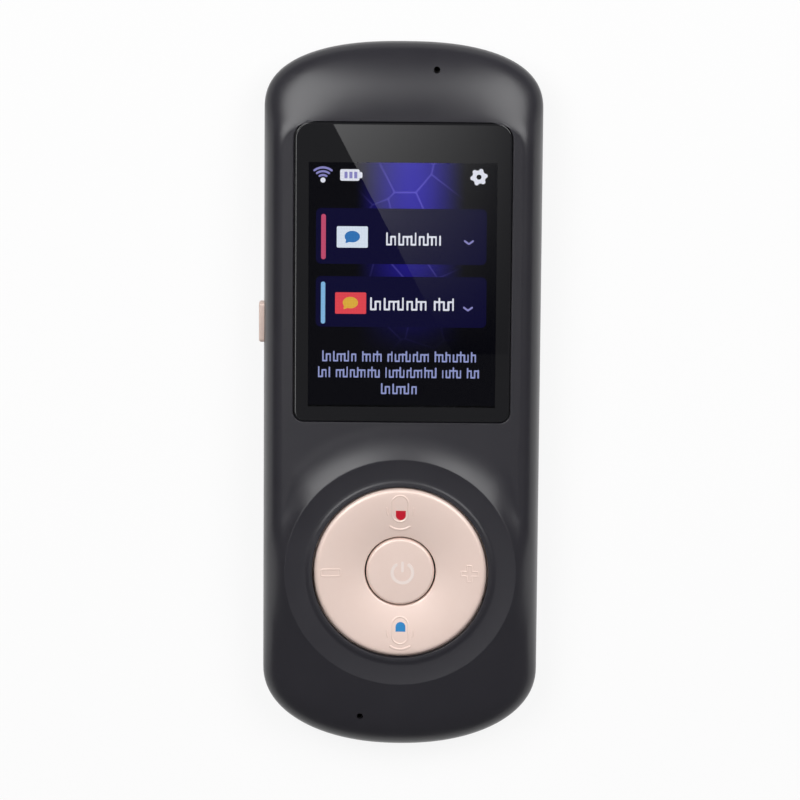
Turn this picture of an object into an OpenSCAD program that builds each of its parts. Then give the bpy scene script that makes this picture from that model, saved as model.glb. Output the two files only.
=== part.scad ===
// Handheld translator: a two-shell pocket case with a touch screen, a four-way rocking key ring
// with a push button in its middle, and a push button in the left wall.
// X is to the right, +Y towards the top end, +Z out of the screen. The origin is the middle of the
// flat rest face on the back. All sizes are in millimetres.

/* [Case] */
// Overall length
case_length = 142; // [138:1:150]
// Overall width
case_width = 54.6; // [54:0.2:60]
// Height of the flat front face above the rest face
face_height = 14.2; // [13.8:0.1:16]
// Height of the parting line between the two shells
split_height = 7.4; // [7.2:0.1:8]
// Wall thickness of both shells
wall = 1.6; // [1.3:0.1:1.8]
// Length of the curved top end in plan
crown_depth = 13.3; // [11:0.1:15]
// Roundness of the top end: 2 is an ellipse, more is squarer
crown_power = 2.4; // [2:0.05:3]
// Length of the curved bottom end in plan
chin_depth = 15.8; // [13:0.1:17.5]
// Roundness of the bottom end
chin_power = 2.15; // [2:0.05:3]
// How far the roll of the front edge reaches in from the sides
side_roll = 4; // [3.4:0.1:4.2]
// How far the slope of the brow reaches down from the top end
brow_roll = 14.7; // [13:0.1:15]
// How far the slope of the chin reaches up from the bottom end
chin_roll = 13.7; // [12:0.1:13.9]
// Sharpness of the front roll: 2 is an ellipse, more is tighter
roll_power = 2.2; // [2:0.05:2.8]
// How far the roll of the back edge reaches in from the sides
back_side_roll = 6; // [4:0.25:7]
// How far the roll of the back edge reaches in from the two ends
back_end_roll = 7; // [5:0.25:8]
// Height of the tongue that centres one shell in the other
tongue_height = 0.8; // [0.5:0.1:1.2]
// Play between the tongue and its rebate
tongue_play = 0.1; // [0.05:0.05:0.2]

/* [Screen] */
// Width of the case beside the cover glass
cheek_width = 6.05; // [5.8:0.05:7]
// Thickness of the cover glass
glass_thick = 1; // [0.7:0.1:1.1]
// Corner radius of the glass at its top end
glass_top_corner = 3.2; // [2:0.1:4]
// Corner radius of the glass at its bottom end
glass_low_corner = 2; // [1.5:0.1:4]
// Distance from the top end of the case to the glass
brow_height = 14.9; // [14.5:0.1:15.5]
// Distance from the glass to the centre of the key pad
bridge_height = 30.3; // [29.8:0.1:31]
// Play round the glass in its pocket
glass_play = 0.15; // [0.1:0.05:0.25]
// Thickness of the adhesive frame under the glass
gasket_thick = 0.1; // [0.05:0.05:0.2]
// Thickness of the ledge that carries the glass
ledge_thick = 0.8; // [0.6:0.1:0.9]
// Width of the bonded border of the glass at its sides and bottom
bond_width = 2; // [1.4:0.1:2.4]
// Black border of the glass above the lit area
top_border = 7.8; // [7:0.1:8.5]
// Gap between the sides of the display module and the edge of the glass, in plan
module_side_room = 0.25; // [0.1:0.05:0.6]
// Gap between the top of the display module and the edge of the glass, in plan
module_top_room = 1.35; // [0.5:0.05:2]
// Thickness of the liquid crystal cell
cell_thick = 0.7; // [0.5:0.1:0.9]
// Thickness of the backlight tray
tray_thick = 1.6; // [1.3:0.1:1.7]

/* [Key pad] */
// Distance from the bottom end of the case to the centre of the pad
pad_inset = 37.05; // [36.5:0.05:38]
// Outer radius of the key ring
ring_r = 17.1; // [16.5:0.1:17.4]
// Gap between the key ring and the wall of its well
ring_gap = 0.35; // [0.3:0.05:0.45]
// Radius of the push button
button_r = 6.75; // [6.5:0.05:7]
// Gap between the button and the key ring
button_gap = 0.3; // [0.25:0.05:0.35]
// Radius of the crest of the collar
crest_r = 23; // [22.6:0.1:23.2]
// Height of the crest above the front face
crest_rise = 1.5; // [1.2:0.1:1.7]
// Width of the ramp outside the crest, towards the screen and the sides
ramp_width = 6; // [5:0.25:8]
// Width of the ramp outside the crest, towards the chin
chin_ramp = 14; // [8:0.5:14]
// Hollowness of the ramp: 1 is straight
ramp_power = 1.8; // [1.4:0.1:2.2]
// Height of the dish inside the crest above the front face
dish_rise = 0.8; // [0.6:0.1:1]
// Outer radius of the dish's floor, where the lip begins
dish_r = 19; // [18.8:0.1:19.5]
// Height of the lip round the key ring above the front face
lip_rise = 1.2; // [1:0.1:1.4]
// Height of the key ring's rim above the front face
rim_rise = 1.4; // [1.2:0.1:1.6]
// How deep the key ring is dished
ring_dish = 1; // [0.6:0.1:1.2]
// Height of the button's top above the front face
button_rise = 0.7; // [0.5:0.1:0.9]
// Thickness of the key ring
ring_thick = 1.2; // [1:0.1:1.3]
// Height of the rocking axes above the main board
pivot_rise = 2.4; // [2.3:0.05:2.5]
// Radius of the four pivot pins
pin_r = 0.5; // [0.4:0.05:0.55]
// Radial play of a pin in its bore
pin_play = 0.05; // [0.03:0.01:0.08]
// Inner radius of the gimbal ring
gimbal_in = 7.6; // [7.4:0.1:7.8]
// Outer radius of the gimbal ring
gimbal_out = 10; // [9.8:0.1:10.2]
// Height of the gimbal ring
gimbal_high = 1.8; // [1.6:0.1:1.9]
// Distance of the four snap domes from the centre of the pad
dome_reach = 13.8; // [13:0.1:14.2]
// Radius of a snap dome
dome_r = 2.2; // [1.8:0.1:2.4]
// Height of a snap dome
dome_high = 0.35; // [0.25:0.05:0.4]
// Play between a key's foot and its dome
dome_play = 0.05; // [0.03:0.01:0.08]
// Radius of the button's stem
stem_r = 4.5; // [4:0.1:4.6]
// Radial play of the stem in its hub
stem_play = 0.08; // [0.05:0.01:0.1]
// Travel of the push button and of the side button
press_travel = 0.35; // [0.25:0.05:0.35]
// Distance of the key frame's screws from the centre of the pad
frame_screw_reach = 21; // [20.8:0.1:21.3]

/* [Side button] */
// Position of the side button along the case
side_button_y = 15; // [10:0.5:25]
// Length of the side button
side_button_length = 8.1; // [7:0.1:9]
// Height of the side button
side_button_high = 2.6; // [2.2:0.1:2.8]
// How far it stands out of the wall
side_button_proud = 1; // [0.8:0.1:1.2]
// Play round the side button in its slot
side_button_play = 0.15; // [0.1:0.05:0.25]

/* [Board and battery] */
// Depth of the main board's top below the front face
board_drop = 4.9; // [4.8:0.05:5]
// Thickness of the main board
board_thick = 1; // [0.8:0.1:1.2]
// Gap between the main board and the side walls
board_side_room = 1.2; // [1:0.1:2]
// Distance from the top end of the case to the main board
board_top_inset = 14.5; // [14:0.5:18]
// Distance from the bottom end of the case to the main board
board_low_inset = 13.5; // [13:0.5:15]
// Gap between the battery and the side walls
battery_side_room = 5.7; // [5.2:0.1:8]
// Gap between the battery and the upper screw pillars
battery_top_room = 5.8; // [4:0.2:10]
// Gap between the battery and the speaker, where the battery's lead runs
lead_room = 13; // [12:0.5:20]
// Gap between the battery and the shield can above it
can_room = 0.5; // [0.3:0.1:1.2]
// Radius of the speaker
speaker_r = 10; // [9:0.25:11]
// Thickness of the speaker
speaker_thick = 3.6; // [3:0.1:4]
// How far the speaker sits above the centre of the key pad
speaker_rise = 3.95; // [2:0.05:6]
// Radius of one hole of the speaker grille
grille_hole_r = 0.5; // [0.35:0.05:0.6]
// Distance between the rings of grille holes
grille_pitch = 2.1; // [1.8:0.1:2.3]
// Number of rings of grille holes round the middle one
grille_rings = 2; // [1:1:3]
// Width of the radio antenna's film, along the case
antenna_width = 4; // [3:0.1:5]
// Radius of a microphone hole
mic_hole_r = 0.6; // [0.4:0.05:0.8]

/* [Fasteners] */
// Radius of the case screws' thread
case_screw_r = 0.8; // [0.7:0.05:1]
// Radius of the case screws' head
case_head_r = 1.7; // [1.5:0.05:1.9]
// Radius of the board screws' thread
board_screw_r = 0.6; // [0.5:0.05:0.8]
// Play of a screw in its clearance hole
screw_play = 0.2; // [0.1:0.05:0.3]

/* [Hidden] */
$fn = 64;

// How far a cut runs past a face, and how far a rib is rooted in the wall that carries it
over = 1;
root = 0.4;
// Gap that keeps two pieces of the stack from rubbing
slack = 0.1;

// Heights of the screen stack, from the front face down
ledge_top = face_height - glass_thick - gasket_thick;
ledge_low = ledge_top - ledge_thick;
cell_top = ledge_low - slack;
tray_top = cell_top - cell_thick;
tray_low = tray_top - tray_thick;
inner_top = face_height - wall;
board_top = face_height - board_drop;

// Plan of the screen, which fills the case between the brow and the key pad
pad_y = pad_inset - case_length / 2;
glass_width = case_width - 2 * cheek_width;
glass_top_y = case_length / 2 - brow_height;
glass_low_y = pad_y + bridge_height;
glass_length = glass_top_y - glass_low_y;
glass_y = (glass_top_y + glass_low_y) / 2;
module_width = glass_width - 2 * module_side_room;
module_length = glass_length - module_top_room;
module_low_y = glass_low_y;
module_y = module_low_y + module_length / 2;
module_corner = 0.6;
cell_margin = 0.5;
view_corner = 0.6;
view_room = 1;
ledge_reach = 1.2;
ledge_width = glass_width + 2 * ledge_reach;
ledge_length = glass_length + 2 * ledge_reach;
gasket_inset = 0.3;

// Plan and heights of the key pad
well_r = ring_r + ring_gap;
ring_hole_r = button_r + button_gap;
crest_z = face_height + crest_rise;
dish_z = face_height + dish_rise;
lip_z = face_height + lip_rise;
lip_edge = 0.2;
lip_r = (well_r + dish_r) / 2;
crest_land = 0.1;
rim_z = face_height + rim_rise;
rim_edge = 0.9;
button_z = face_height + button_rise;
pivot_z = board_top + pivot_rise;
foot_low = board_top + dome_high + dome_play;
foot_r = 1.2;
flange_reach = 1.3;
flange_drop = 2.3;
flange_r = ring_r + flange_reach;
flange_top = rim_z - flange_drop;
flange_thick = 0.6;
flange_room = 0.7;
flange_play = 0.4;
seam_y = (glass_low_y + pad_y + crest_r) / 2;
ear_thick = 1.5;
ear_width = 3;
ear_gap = 0.3;
ear_drop = 0.9;

// The frame under the key ring
frame_gap = 0.35;
frame_low = board_top + frame_gap;
arm_thick = 0.7;
arm_width = 2.4;
hub_r = stem_r + stem_play;
hub_gap = 1.4;
hub_over_pin = 0.2;
hub_step_high = 0.8;
hub_out = gimbal_in - hub_gap;
hub_top = pivot_z + pin_r + hub_over_pin;
hub_step = frame_low + hub_step_high;
pin_end_gap = 0.3;
button_cap = 1.4;
retainer_thick = 0.5;
retainer_reach = 0.75;
retainer_r = hub_r + retainer_reach;
retainer_room = 0.15;
retainer_play = 0.03;
retainer_slit = 1.6;
groove_depth = 0.6;
frame_top = frame_low + arm_thick;
frame_screw_r = 0.5;
frame_screw_play = 0.1;
frame_boss_r = 1.5;
frame_head_r = 0.9;
frame_head_high = 0.3;
frame_thread = 2;
frame_shank = arm_thick + frame_thread - frame_head_high;

// Main board, as far as its walls and its ends allow
board_width = case_width - 2 * wall - 2 * board_side_room;
board_top_y = case_length / 2 - board_top_inset;
board_low_y = board_low_inset - case_length / 2;
board_length = board_top_y - board_low_y;
board_y = (board_top_y + board_low_y) / 2;

// Top of the rebate that takes the rear shell's tongue
rebate_top = split_height + tongue_height + tongue_play;

// Screws: each point is a place in plan, each inset a distance from the case's side and end
case_screw_top_inset = [13.3, 11.5];
case_screw_low_inset = [14.3, 10.5];
case_screw_top = [case_width, case_length] / 2 - case_screw_top_inset;
case_screw_low = [case_width, case_length] / 2 - case_screw_low_inset;
case_screws_at = [
    for (x = [-1, 1]) [x * case_screw_top[0], case_screw_top[1]],
    for (x = [-1, 1]) [x * case_screw_low[0], -case_screw_low[1]]
];
board_screw_side_inset = 3.8;
board_screw_drop = 3.9;
board_screw_low_inset = [6.5, 3.55];
board_screw_top = [board_width / 2 - board_screw_side_inset, module_low_y - board_screw_drop];
board_screw_low = [board_width / 2 - board_screw_low_inset[0], board_low_y + board_screw_low_inset[1]];
board_screws_at = [
    for (x = [-1, 1]) [x * board_screw_top[0], board_screw_top[1]],
    for (x = [-1, 1]) [x * board_screw_low[0], board_screw_low[1]]
];
frame_screws_at = [
    for (a = [45:90:315]) [frame_screw_reach * cos(a), pad_y + frame_screw_reach * sin(a)]
];
thread_play = 0.03;
pillar_low = 1;
pillar_floor = 1.8;
pillar_seat = split_height - pillar_floor;
case_head_high = 1.1;
case_thread = 2.8;
case_shank = split_height - pillar_seat + case_thread;
case_boss_wall = 1.4;
board_boss_wall = 1.3;
pillar_wall = 1;
head_reach = 0.5;
case_boss_r = case_screw_r + case_boss_wall;
pillar_r = case_head_r + pillar_wall;
board_boss_r = board_screw_r + board_boss_wall;
board_head_r = board_screw_r + head_reach;
board_head_high = 0.7;
board_thread = 2.2;
thread_spare = 0.3;

// Board, battery and speaker
board_low = board_top - board_thick;
board_corner = 3;
tail_width = 9.6;
tail_end_inset = 2.6;
tail_end_y = tail_end_inset - case_length / 2;
notch_deep = 0.9;
notch_length = side_button_length + 4;
flex_width = 16;
flex_film = 0.15;
flex_plug = [18, 3, 0.9];
flex_plug_drop = 1.9;
flex_insert = 2.5;
flex_step = 0.7;
flex_margin = 0.2;
foam_width = 34;
foam_length = 6;
foam_inset = 8.8;
speaker_y = pad_y + speaker_rise;
can_size = [24, 18, 1.3];
can_wall = 0.2;
tape_thick = 0.3;
tape_width = 6;
tape_margin = 5;
battery_low = wall + tape_thick;
battery_thick = board_low - can_size[2] - can_room - battery_low;
battery_width = case_width - 2 * wall - 2 * battery_side_room;
battery_top_y = case_screw_top[1] - pillar_r - battery_top_room;
battery_end_y = speaker_y + speaker_r + lead_room;
battery_length = battery_top_y - battery_end_y;
battery_y = (battery_top_y + battery_end_y) / 2;
battery_corner = 1.5;
rib_thick = 0.8;
rib_high = 3;
rib_margin = 6;
end_rib_width = 16;
gasket_high = 0.5;
mesh_thick = 0.1;
magnet_high = 1.44;
magnet_r = speaker_r - 4;
gasket_wide = 1.6;
gasket_in = speaker_r - 0.2 - gasket_wide;
grille_hole_count = 6;
can_inset = 26.5;
can_y = board_top_y - can_inset;
chip_size = [10, 10, 0.8];
connector_x = -12;
connector_drop = 5.5;
connector_at = [connector_x, battery_end_y - connector_drop];
connector_size = [5, 3.4, 1.5];
lead_width = 2.4;
lead_thick = 0.8;
lead_bend = 0.8;
lead_skew = 0.3;
antenna_thick = 0.2;
antenna_gap = 1.3;
antenna_drop = 5.5;

// Microphones and port
mic_top_inset = 4.8;
mic_low_inset = 7;
mic_top_at = [6.4, case_length / 2 - mic_top_inset];
mic_low_at = [-7.8, mic_low_inset - case_length / 2];
mic_r = 1.6;
mic_high = 0.95;
boot_r = 1.95;
boot_high = 1.7;
boot_ring = 0.55;
boot_play = 0.02;
mic_play = 0.03;
roof_gap = 0.2;
usb_width = 8.94;
usb_high = 3.26;
usb_deep = 7.3;
usb_wall = 0.3;
usb_play = 0.2;
usb_back = 1;
tongue_inset = 0.6;
tongue_size = [6.7, usb_deep - usb_back - tongue_inset, 0.7];
mouth_deep = 4;
usb_z = board_low - usb_high / 2;
usb_mouth_inset = 0.35;
usb_mouth_y = usb_mouth_inset - case_length / 2;

// Side button and its switch, both centred on the left wall's own height
side_x = case_width / 2;
switch_size = [3, 4.2, 1.7];
switch_z = board_low - switch_size[2] / 2;
switch_inset = 3.5;
switch_x = side_x - switch_inset;
plunger_size = [0.75, 2, 0.8];
side_flange = [0.6, 1.9, 0.55];
side_flange_x = switch_x + plunger_size[0];
side_chamfer = 0.5;

// Plan outlines: half width, then tip, depth and power of the top end and of the bottom end
outline = [
    case_width / 2, case_length / 2, crown_depth, crown_power,
    case_length / 2, chin_depth, chin_power
];
// Where the front starts to roll off: square round the screen, round about the pad
shoulder = [
    case_width / 2 - side_roll, case_length / 2 - brow_roll, 8, 4,
    case_length / 2 - chin_roll, crest_r, 2.1
];
inner_outline = inset(outline, wall, wall, wall);
inner_shoulder = inset(shoulder, wall, wall, 0);

// A plan outline moved inwards at its sides and ends, its end curves made shorter
function inset(c, side, end, shorter) = [
    c[0] - side, c[1] - end, c[2] - shorter, c[3], c[4] - end, c[5] - shorter, c[6]
];

// 1 on a plan outline, less inside it and more outside
function level(c, x, y) =
    let (
        top = y > 0,
        tip = top ? c[1] : c[4],
        depth = top ? c[2] : c[5],
        n = top ? c[3] : c[6],
        e = max(0, (abs(y) - tip + depth) / depth)
    )
    pow(pow(abs(x) / c[0], n) + pow(e, n), 1 / n);

// Point of an end of a plan outline at angle a, 0 to 180 at the top and 180 to 360 at the bottom
function end_point(c, a) =
    let (
        top = a <= 180,
        tip = top ? c[1] : c[4],
        depth = top ? c[2] : c[5],
        n = top ? c[3] : c[6],
        s = abs(sin(a)) < 1e-9 ? 0 : pow(abs(sin(a)), 2 / n),
        q = abs(cos(a)) < 1e-9 ? 0 : sign(cos(a)) * pow(abs(cos(a)), 2 / n)
    )
    [c[0] * q, (top ? 1 : -1) * (tip - depth + depth * s)];

// A whole plan outline, anticlockwise
low_start = 180 + 1e-6;
function loop(c, steps) = concat(
    [for (i = [0:steps]) end_point(c, 180 * i / steps)],
    [end_point(c, low_start)],
    [for (i = [1:steps]) end_point(c, 180 + 180 * i / steps)]
);

// Height of the front before it rolls off: the flat face and the ramp up to the collar
function crown(x, y, top, rise) =
    let (
        r = norm([x, y - pad_y]),
        down = r < 1e-6 ? 0 : max(0, (pad_y - y) / r),
        reach = ramp_width + (chin_ramp - ramp_width) * down * down,
        u = min(1, max(0, (crest_r + reach - r) / reach))
    )
    top + rise * pow(u, ramp_power);

// Height of the front skin: a superelliptic roll between the shoulder s and the outline o
function skin(o, s, top, rise, x, y) =
    let (
        a = max(0, level(s, x, y) - 1),
        b = max(0, 1 - level(o, x, y)),
        t = b < 1e-6 ? 1 : a / (a + b),
        roll = pow(1 - pow(t, roll_power), 1 / roll_power)
    )
    split_height + (crown(x, y, top, rise) - split_height) * roll;
function roof(p) = skin(inner_outline, inner_shoulder, inner_top, 0, p[0], p[1]);
function boot_low(p) = roof(p) - roof_gap - boot_high;

// Outer loops of the two patches that make the front, one round the screen and one round the
// pad. They share the seam, whose points are the same in both.
function seam_share(v) = sign(v) * (1 - pow(1 - abs(v), 2.2));
function along(from, to, steps) = [for (i = [0:steps - 1]) from + (to - from) * i / steps];
function screen_loop(o, n) = concat(
    [for (y = along(seam_y, o[1] - o[2], n)) [o[0], y]],
    [for (i = [0:4 * n - 1]) end_point(o, 45 * i / n)],
    [for (y = along(o[1] - o[2], seam_y, n)) [-o[0], y]],
    [for (i = [0:2 * n - 1]) [o[0] * seam_share((i - n) / n), seam_y]]
);
function pad_loop(o, n) = concat(
    [for (y = along(seam_y, o[5] - o[4], n)) [-o[0], y]],
    [end_point(o, low_start)],
    [for (i = [1:4 * n - 1]) end_point(o, 180 + 45 * i / n)],
    [for (y = along(o[5] - o[4], seam_y, n)) [o[0], y]],
    [for (i = [0:2 * n - 1]) [o[0] * seam_share((n - i) / n), seam_y]]
);
// Inner loops, on the same rays from each patch's middle
window_border = 0.6;
function window_ring(p) =
    let (
        d = p - [0, glass_y],
        a = glass_width / 2 + window_border,
        b = glass_length / 2 + window_border
    )
    [0, glass_y] + d / pow(pow(abs(d[0]) / a, 14) + pow(abs(d[1]) / b, 14), 1 / 14);
function crest_ring(p) = [0, pad_y] + crest_r * (p - [0, pad_y]) / norm(p - [0, pad_y]);
// Rows crowd towards the edge, where the skin turns down
function row_share(j, rows) = 1 - pow(1 - j / rows, 1.7);
function patch(outer, inner, rows, o, s, top, rise, hub_z) = [
    for (j = [0:rows], k = [0:len(outer) - 1])
        let (p = j == rows ? outer[k] : inner[k] + (outer[k] - inner[k]) * row_share(j, rows))
        [p[0], p[1], j == 0 ? hub_z : skin(o, s, top, rise, p[0], p[1])]
];

// Faces: between two rows of points, between two rims, and from a row to one middle point
function strip(n, rows, base) = [
    for (j = [0:rows - 1], k = [0:n - 1])
        let (a = base + j * n + k, b = base + j * n + (k + 1) % n)
        each [[a, b, a + n], [b, b + n, a + n]]
];
function fan(row, hub) = [for (k = [0:len(row) - 1]) [row[k], hub, row[(k + 1) % len(row)]]];
function span(from, count) = [for (k = [0:count - 1]) from + k];
function backwards(row) = [for (k = [len(row) - 1:-1:0]) row[k]];

// The solid of the front, from foot below the parting line up to its skin
module front_form(o, s, top, rise, steps, rows, foot) {
    screen_edge = screen_loop(o, steps);
    pad_edge = pad_loop(o, steps);
    n = len(screen_edge);
    screen_skin = patch(screen_edge, [for (p = screen_edge) window_ring(p)], rows, o, s, top, rise, top);
    pad_skin = patch(pad_edge, [for (p = pad_edge) crest_ring(p)], rows, o, s, top, rise, top + rise);
    skins = concat(screen_skin, pad_skin);
    size = len(screen_skin);
    last = rows * n;
    half_edge = 6 * steps;
    rim = concat(span(last, half_edge + 1), span(size + last + 1, half_edge - 1));
    low_rim = span(2 * size, len(rim));
    hubs = 2 * size + len(rim);
    wall_faces = [
        for (k = [0:len(rim) - 1])
            let (l = (k + 1) % len(rim))
            each [[rim[k], rim[l], low_rim[k]], [rim[l], low_rim[l], low_rim[k]]]
    ];
    polyhedron(
        points = concat(
            skins,
            [for (k = rim) [skins[k][0], skins[k][1], split_height - foot]],
            [[0, glass_y, top], [0, pad_y, top + rise], [0, 0, split_height - foot]]
        ),
        faces = concat(
            strip(n, rows, 0),
            strip(n, rows, size),
            fan(span(0, n), hubs),
            fan(span(size, n), hubs + 1),
            foot > 0 ? wall_faces : [],
            fan(backwards(foot > 0 ? low_rim : rim), hubs + 2)
        )
    );
}

// The solid of the back: a stack of plan outlines that draw in from the parting line to its floor
module rear_form(o, floor_z, steps, rows, foot) {
    low = [
        for (j = [0:rows])
            let (
                turn = 90 * j / rows,
                drop = j == 0 ? 0 : pow(sin(turn), 2 / roll_power),
                draw = j == rows ? 1 : 1 - pow(cos(turn), 2 / roll_power)
            )
            [draw, split_height - (split_height - floor_z) * drop]
    ];
    rings = concat(foot > 0 ? [[0, split_height + foot]] : [], low);
    n = 2 * steps + 2;
    size = len(rings) * n;
    points = [
        for (ring = rings)
            let (
                side = back_side_roll * ring[0],
                end = back_end_roll * ring[0],
                c = inset(o, side, end, end / 2)
            )
            for (p = loop(c, steps)) [p[0], p[1], ring[1]]
    ];
    polyhedron(
        points = concat(points, [[0, 0, rings[0][1]], [0, 0, floor_z]]),
        faces = concat(
            strip(n, len(rings) - 1, 0),
            fan(span(0, n), size),
            fan(backwards(span(size - n, n)), size + 1)
        )
    );
}

// A flat band that follows the outline between two insets
module outline_band(from, to, low, high) {
    translate([0, 0, low])
        linear_extrude(high - low)
            difference() {
                polygon(loop(inset(outline, from, from, from), 24));
                polygon(loop(inset(outline, to, to, to), 24));
            }
}

module rounded_rect(w, l, r) {
    square([w - 2 * r, l], center = true);
    square([w, l - 2 * r], center = true);
    for (x = [-1, 1], y = [-1, 1])
        translate([x * (w / 2 - r), y * (l / 2 - r)]) circle(r);
}

// Outline of the cover glass, grown by play
module glass_plan(play) {
    w = glass_width / 2 + play;
    l = glass_length / 2 + play;
    top = glass_top_corner + play;
    low = glass_low_corner + play;
    translate([0, glass_y]) {
        translate([-w, low - l]) square([2 * w, 2 * l - top - low]);
        translate([top - w, 0]) square([2 * (w - top), l]);
        translate([low - w, -l]) square([2 * (w - low), l]);
        for (x = [-1, 1]) {
            translate([x * (w - top), l - top]) circle(top);
            translate([x * (w - low), low - l]) circle(low);
        }
    }
}

// The clear opening behind the glass
module view_plan() {
    low = glass_low_y + bond_width;
    high = glass_top_y - top_border + view_room;
    translate([0, (low + high) / 2]) rounded_rect(glass_width - 2 * bond_width, high - low, view_corner);
}

// Round bar along X, from x = from to x = to
module bar_x(from, to, r) {
    translate([from, 0, 0]) rotate([0, 90, 0]) cylinder(r = r, h = to - from);
}
// Round bar along Y, from y = from to y = to
module bar_y(from, to, r) {
    translate([0, to, 0]) rotate([90, 0, 0]) cylinder(r = r, h = to - from);
}
// A bar along Y whose section is as wide as w and as high as h, with round ends
module pill_y(w, h, from, to) {
    translate([h / 2 - w / 2, from, -h / 2]) cube([w - h, to - from, h]);
    for (x = [-1, 1])
        translate([x * (w - h) / 2, 0, 0]) bar_y(from, to, h / 2);
}
module at_pad(z) {
    translate([0, pad_y, z]) children();
}

// Everything that the port's mouth passes through
module usb_mouth() {
    w = usb_width + 2 * usb_play;
    h = usb_high + 2 * usb_play;
    translate([0, 0, usb_z]) pill_y(w, h, usb_mouth_y - over, usb_mouth_y + mouth_deep);
}
module side_slot() {
    w = side_button_length + 2 * side_button_play;
    h = side_button_high + 2 * side_button_play;
    translate([-side_x - over, side_button_y - w / 2, switch_z - h / 2]) cube([2 * over + wall, w, h]);
}

// What the dish and the well take out of the front
module pad_cutter() {
    at_pad(0)
        rotate_extrude()
            polygon([
                [0, split_height], [well_r, split_height], [well_r, lip_z - lip_edge],
                [well_r + lip_edge, lip_z], [lip_r, lip_z], [dish_r, dish_z],
                [crest_r - crest_land, crest_z], [crest_r - crest_land, crest_z + over],
                [0, crest_z + over]
            ]);
}

// Bosses, pillars and rings that hang from the front's roof, before their bores are cut
module front_bosses() {
    for (p = board_screws_at)
        translate([p[0], p[1], board_top]) cylinder(r = board_boss_r, h = roof(p) + root - board_top);
    for (p = case_screws_at)
        translate([p[0], p[1], split_height]) cylinder(r = case_boss_r, h = roof(p) + root - split_height);
    for (p = frame_screws_at)
        translate([p[0], p[1], frame_top]) cylinder(r = frame_boss_r, h = inner_top + root - frame_top);
    for (p = [mic_top_at, mic_low_at])
        translate([p[0], p[1], boot_low(p)]) cylinder(r = boot_r + boot_ring, h = roof(p) - boot_low(p));
}

// Threaded bores of the front's bosses, and the seats and holes of its two microphones
module front_bores() {
    for (p = board_screws_at)
        translate([p[0], p[1], board_top - over])
            cylinder(r = board_screw_r, h = board_thread + thread_spare + over);
    for (p = case_screws_at)
        translate([p[0], p[1], split_height - over])
            cylinder(r = case_screw_r, h = case_thread + thread_spare + over);
    for (p = frame_screws_at)
        translate([p[0], p[1], frame_low])
            cylinder(r = frame_screw_r, h = arm_thick + frame_thread + thread_spare);
    for (p = [mic_top_at, mic_low_at])
        translate([p[0], p[1], boot_low(p)]) {
            translate([0, 0, -over]) cylinder(r = boot_r + boot_play, h = boot_high + over);
            cylinder(r = mic_hole_r, h = crest_z - split_height);
        }
}

module front_shell() {
    color([0.19, 0.19, 0.2])
        difference() {
            union() {
                difference() {
                    front_form(outline, shoulder, face_height, crest_rise, 10, 10, 0);
                    front_form(inner_outline, inner_shoulder, inner_top, 0, 4, 5, over);
                }
                translate([0, glass_y, ledge_low])
                    linear_extrude(ledge_thick)
                        rounded_rect(ledge_width, ledge_length, glass_top_corner);
                front_bosses();
            }
            pad_cutter();
            at_pad(split_height)
                cylinder(r = flange_r + flange_play, h = flange_top + flange_room - split_height);
            translate([0, 0, ledge_top])
                linear_extrude(face_height) glass_plan(glass_play);
            translate([0, 0, ledge_low - over])
                linear_extrude(face_height) view_plan();
            front_bores();
            outline_band(wall / 2, wall + root, split_height - over, rebate_top);
            usb_mouth();
            side_slot();
        }
}

// Pillars for the case screws and the low walls that hold the battery and the speaker
module rear_ribs() {
    beside = battery_width / 2 + slack;
    beyond = battery_length / 2 + slack;
    for (p = case_screws_at)
        translate([p[0], p[1], pillar_low]) cylinder(r = pillar_r, h = split_height - pillar_low);
    for (x = [-beside - rib_thick, beside])
        translate([x, battery_end_y + rib_margin, wall - root])
            cube([rib_thick, battery_length - 2 * rib_margin, rib_high + root]);
    for (y = [-beyond - rib_thick, beyond])
        translate([-end_rib_width / 2, battery_y + y, wall - root])
            cube([end_rib_width, rib_thick, rib_high + root]);
    translate([0, speaker_y, wall - root])
        difference() {
            cylinder(r = speaker_r + slack + rib_thick, h = rib_high + root);
            translate([0, 0, -over]) cylinder(r = speaker_r + slack, h = rib_high + 3 * over);
        }
}

module rear_shell() {
    rings = [for (k = [1:grille_rings]) each [for (i = [0:grille_hole_count * k - 1])
        let (a = 360 * i / (grille_hole_count * k))
        [k * grille_pitch * cos(a), speaker_y + k * grille_pitch * sin(a)]]];
    color([0.17, 0.17, 0.18])
        difference() {
            union() {
                difference() {
                    rear_form(outline, 0, 24, 7, 0);
                    rear_form(inner_outline, wall, 20, 5, over);
                }
                outline_band(wall / 2 + tongue_play, wall, split_height - root, rebate_top - tongue_play);
                rear_ribs();
            }
            for (p = case_screws_at)
                translate([p[0], p[1], 0]) {
                    translate([0, 0, -over]) cylinder(r = case_head_r + screw_play, h = pillar_seat + over);
                    cylinder(r = case_screw_r + screw_play, h = split_height + over);
                }
            for (p = concat([[0, speaker_y]], rings))
                translate([p[0], p[1], -over]) cylinder(r = grille_hole_r, h = wall + 2 * over, $fn = 24);
            usb_mouth();
            side_slot();
        }
}

module screen_glass() {
    color([0.02, 0.02, 0.03])
        translate([0, 0, ledge_top + gasket_thick])
            linear_extrude(glass_thick) glass_plan(0);
}

module glass_gasket() {
    color([0.1, 0.1, 0.1])
        translate([0, 0, ledge_top])
            linear_extrude(gasket_thick)
                difference() {
                    glass_plan(-gasket_inset);
                    view_plan();
                }
}

module lcd_cell() {
    color([0.1, 0.12, 0.35])
        translate([0, module_y, tray_top])
            linear_extrude(cell_thick)
                rounded_rect(module_width - 2 * cell_margin, module_length - 2 * cell_margin, module_corner);
}

module backlight_tray() {
    color([0.75, 0.75, 0.78])
        translate([0, module_y, tray_low])
            linear_extrude(tray_thick) rounded_rect(module_width, module_length, module_corner);
}

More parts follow.
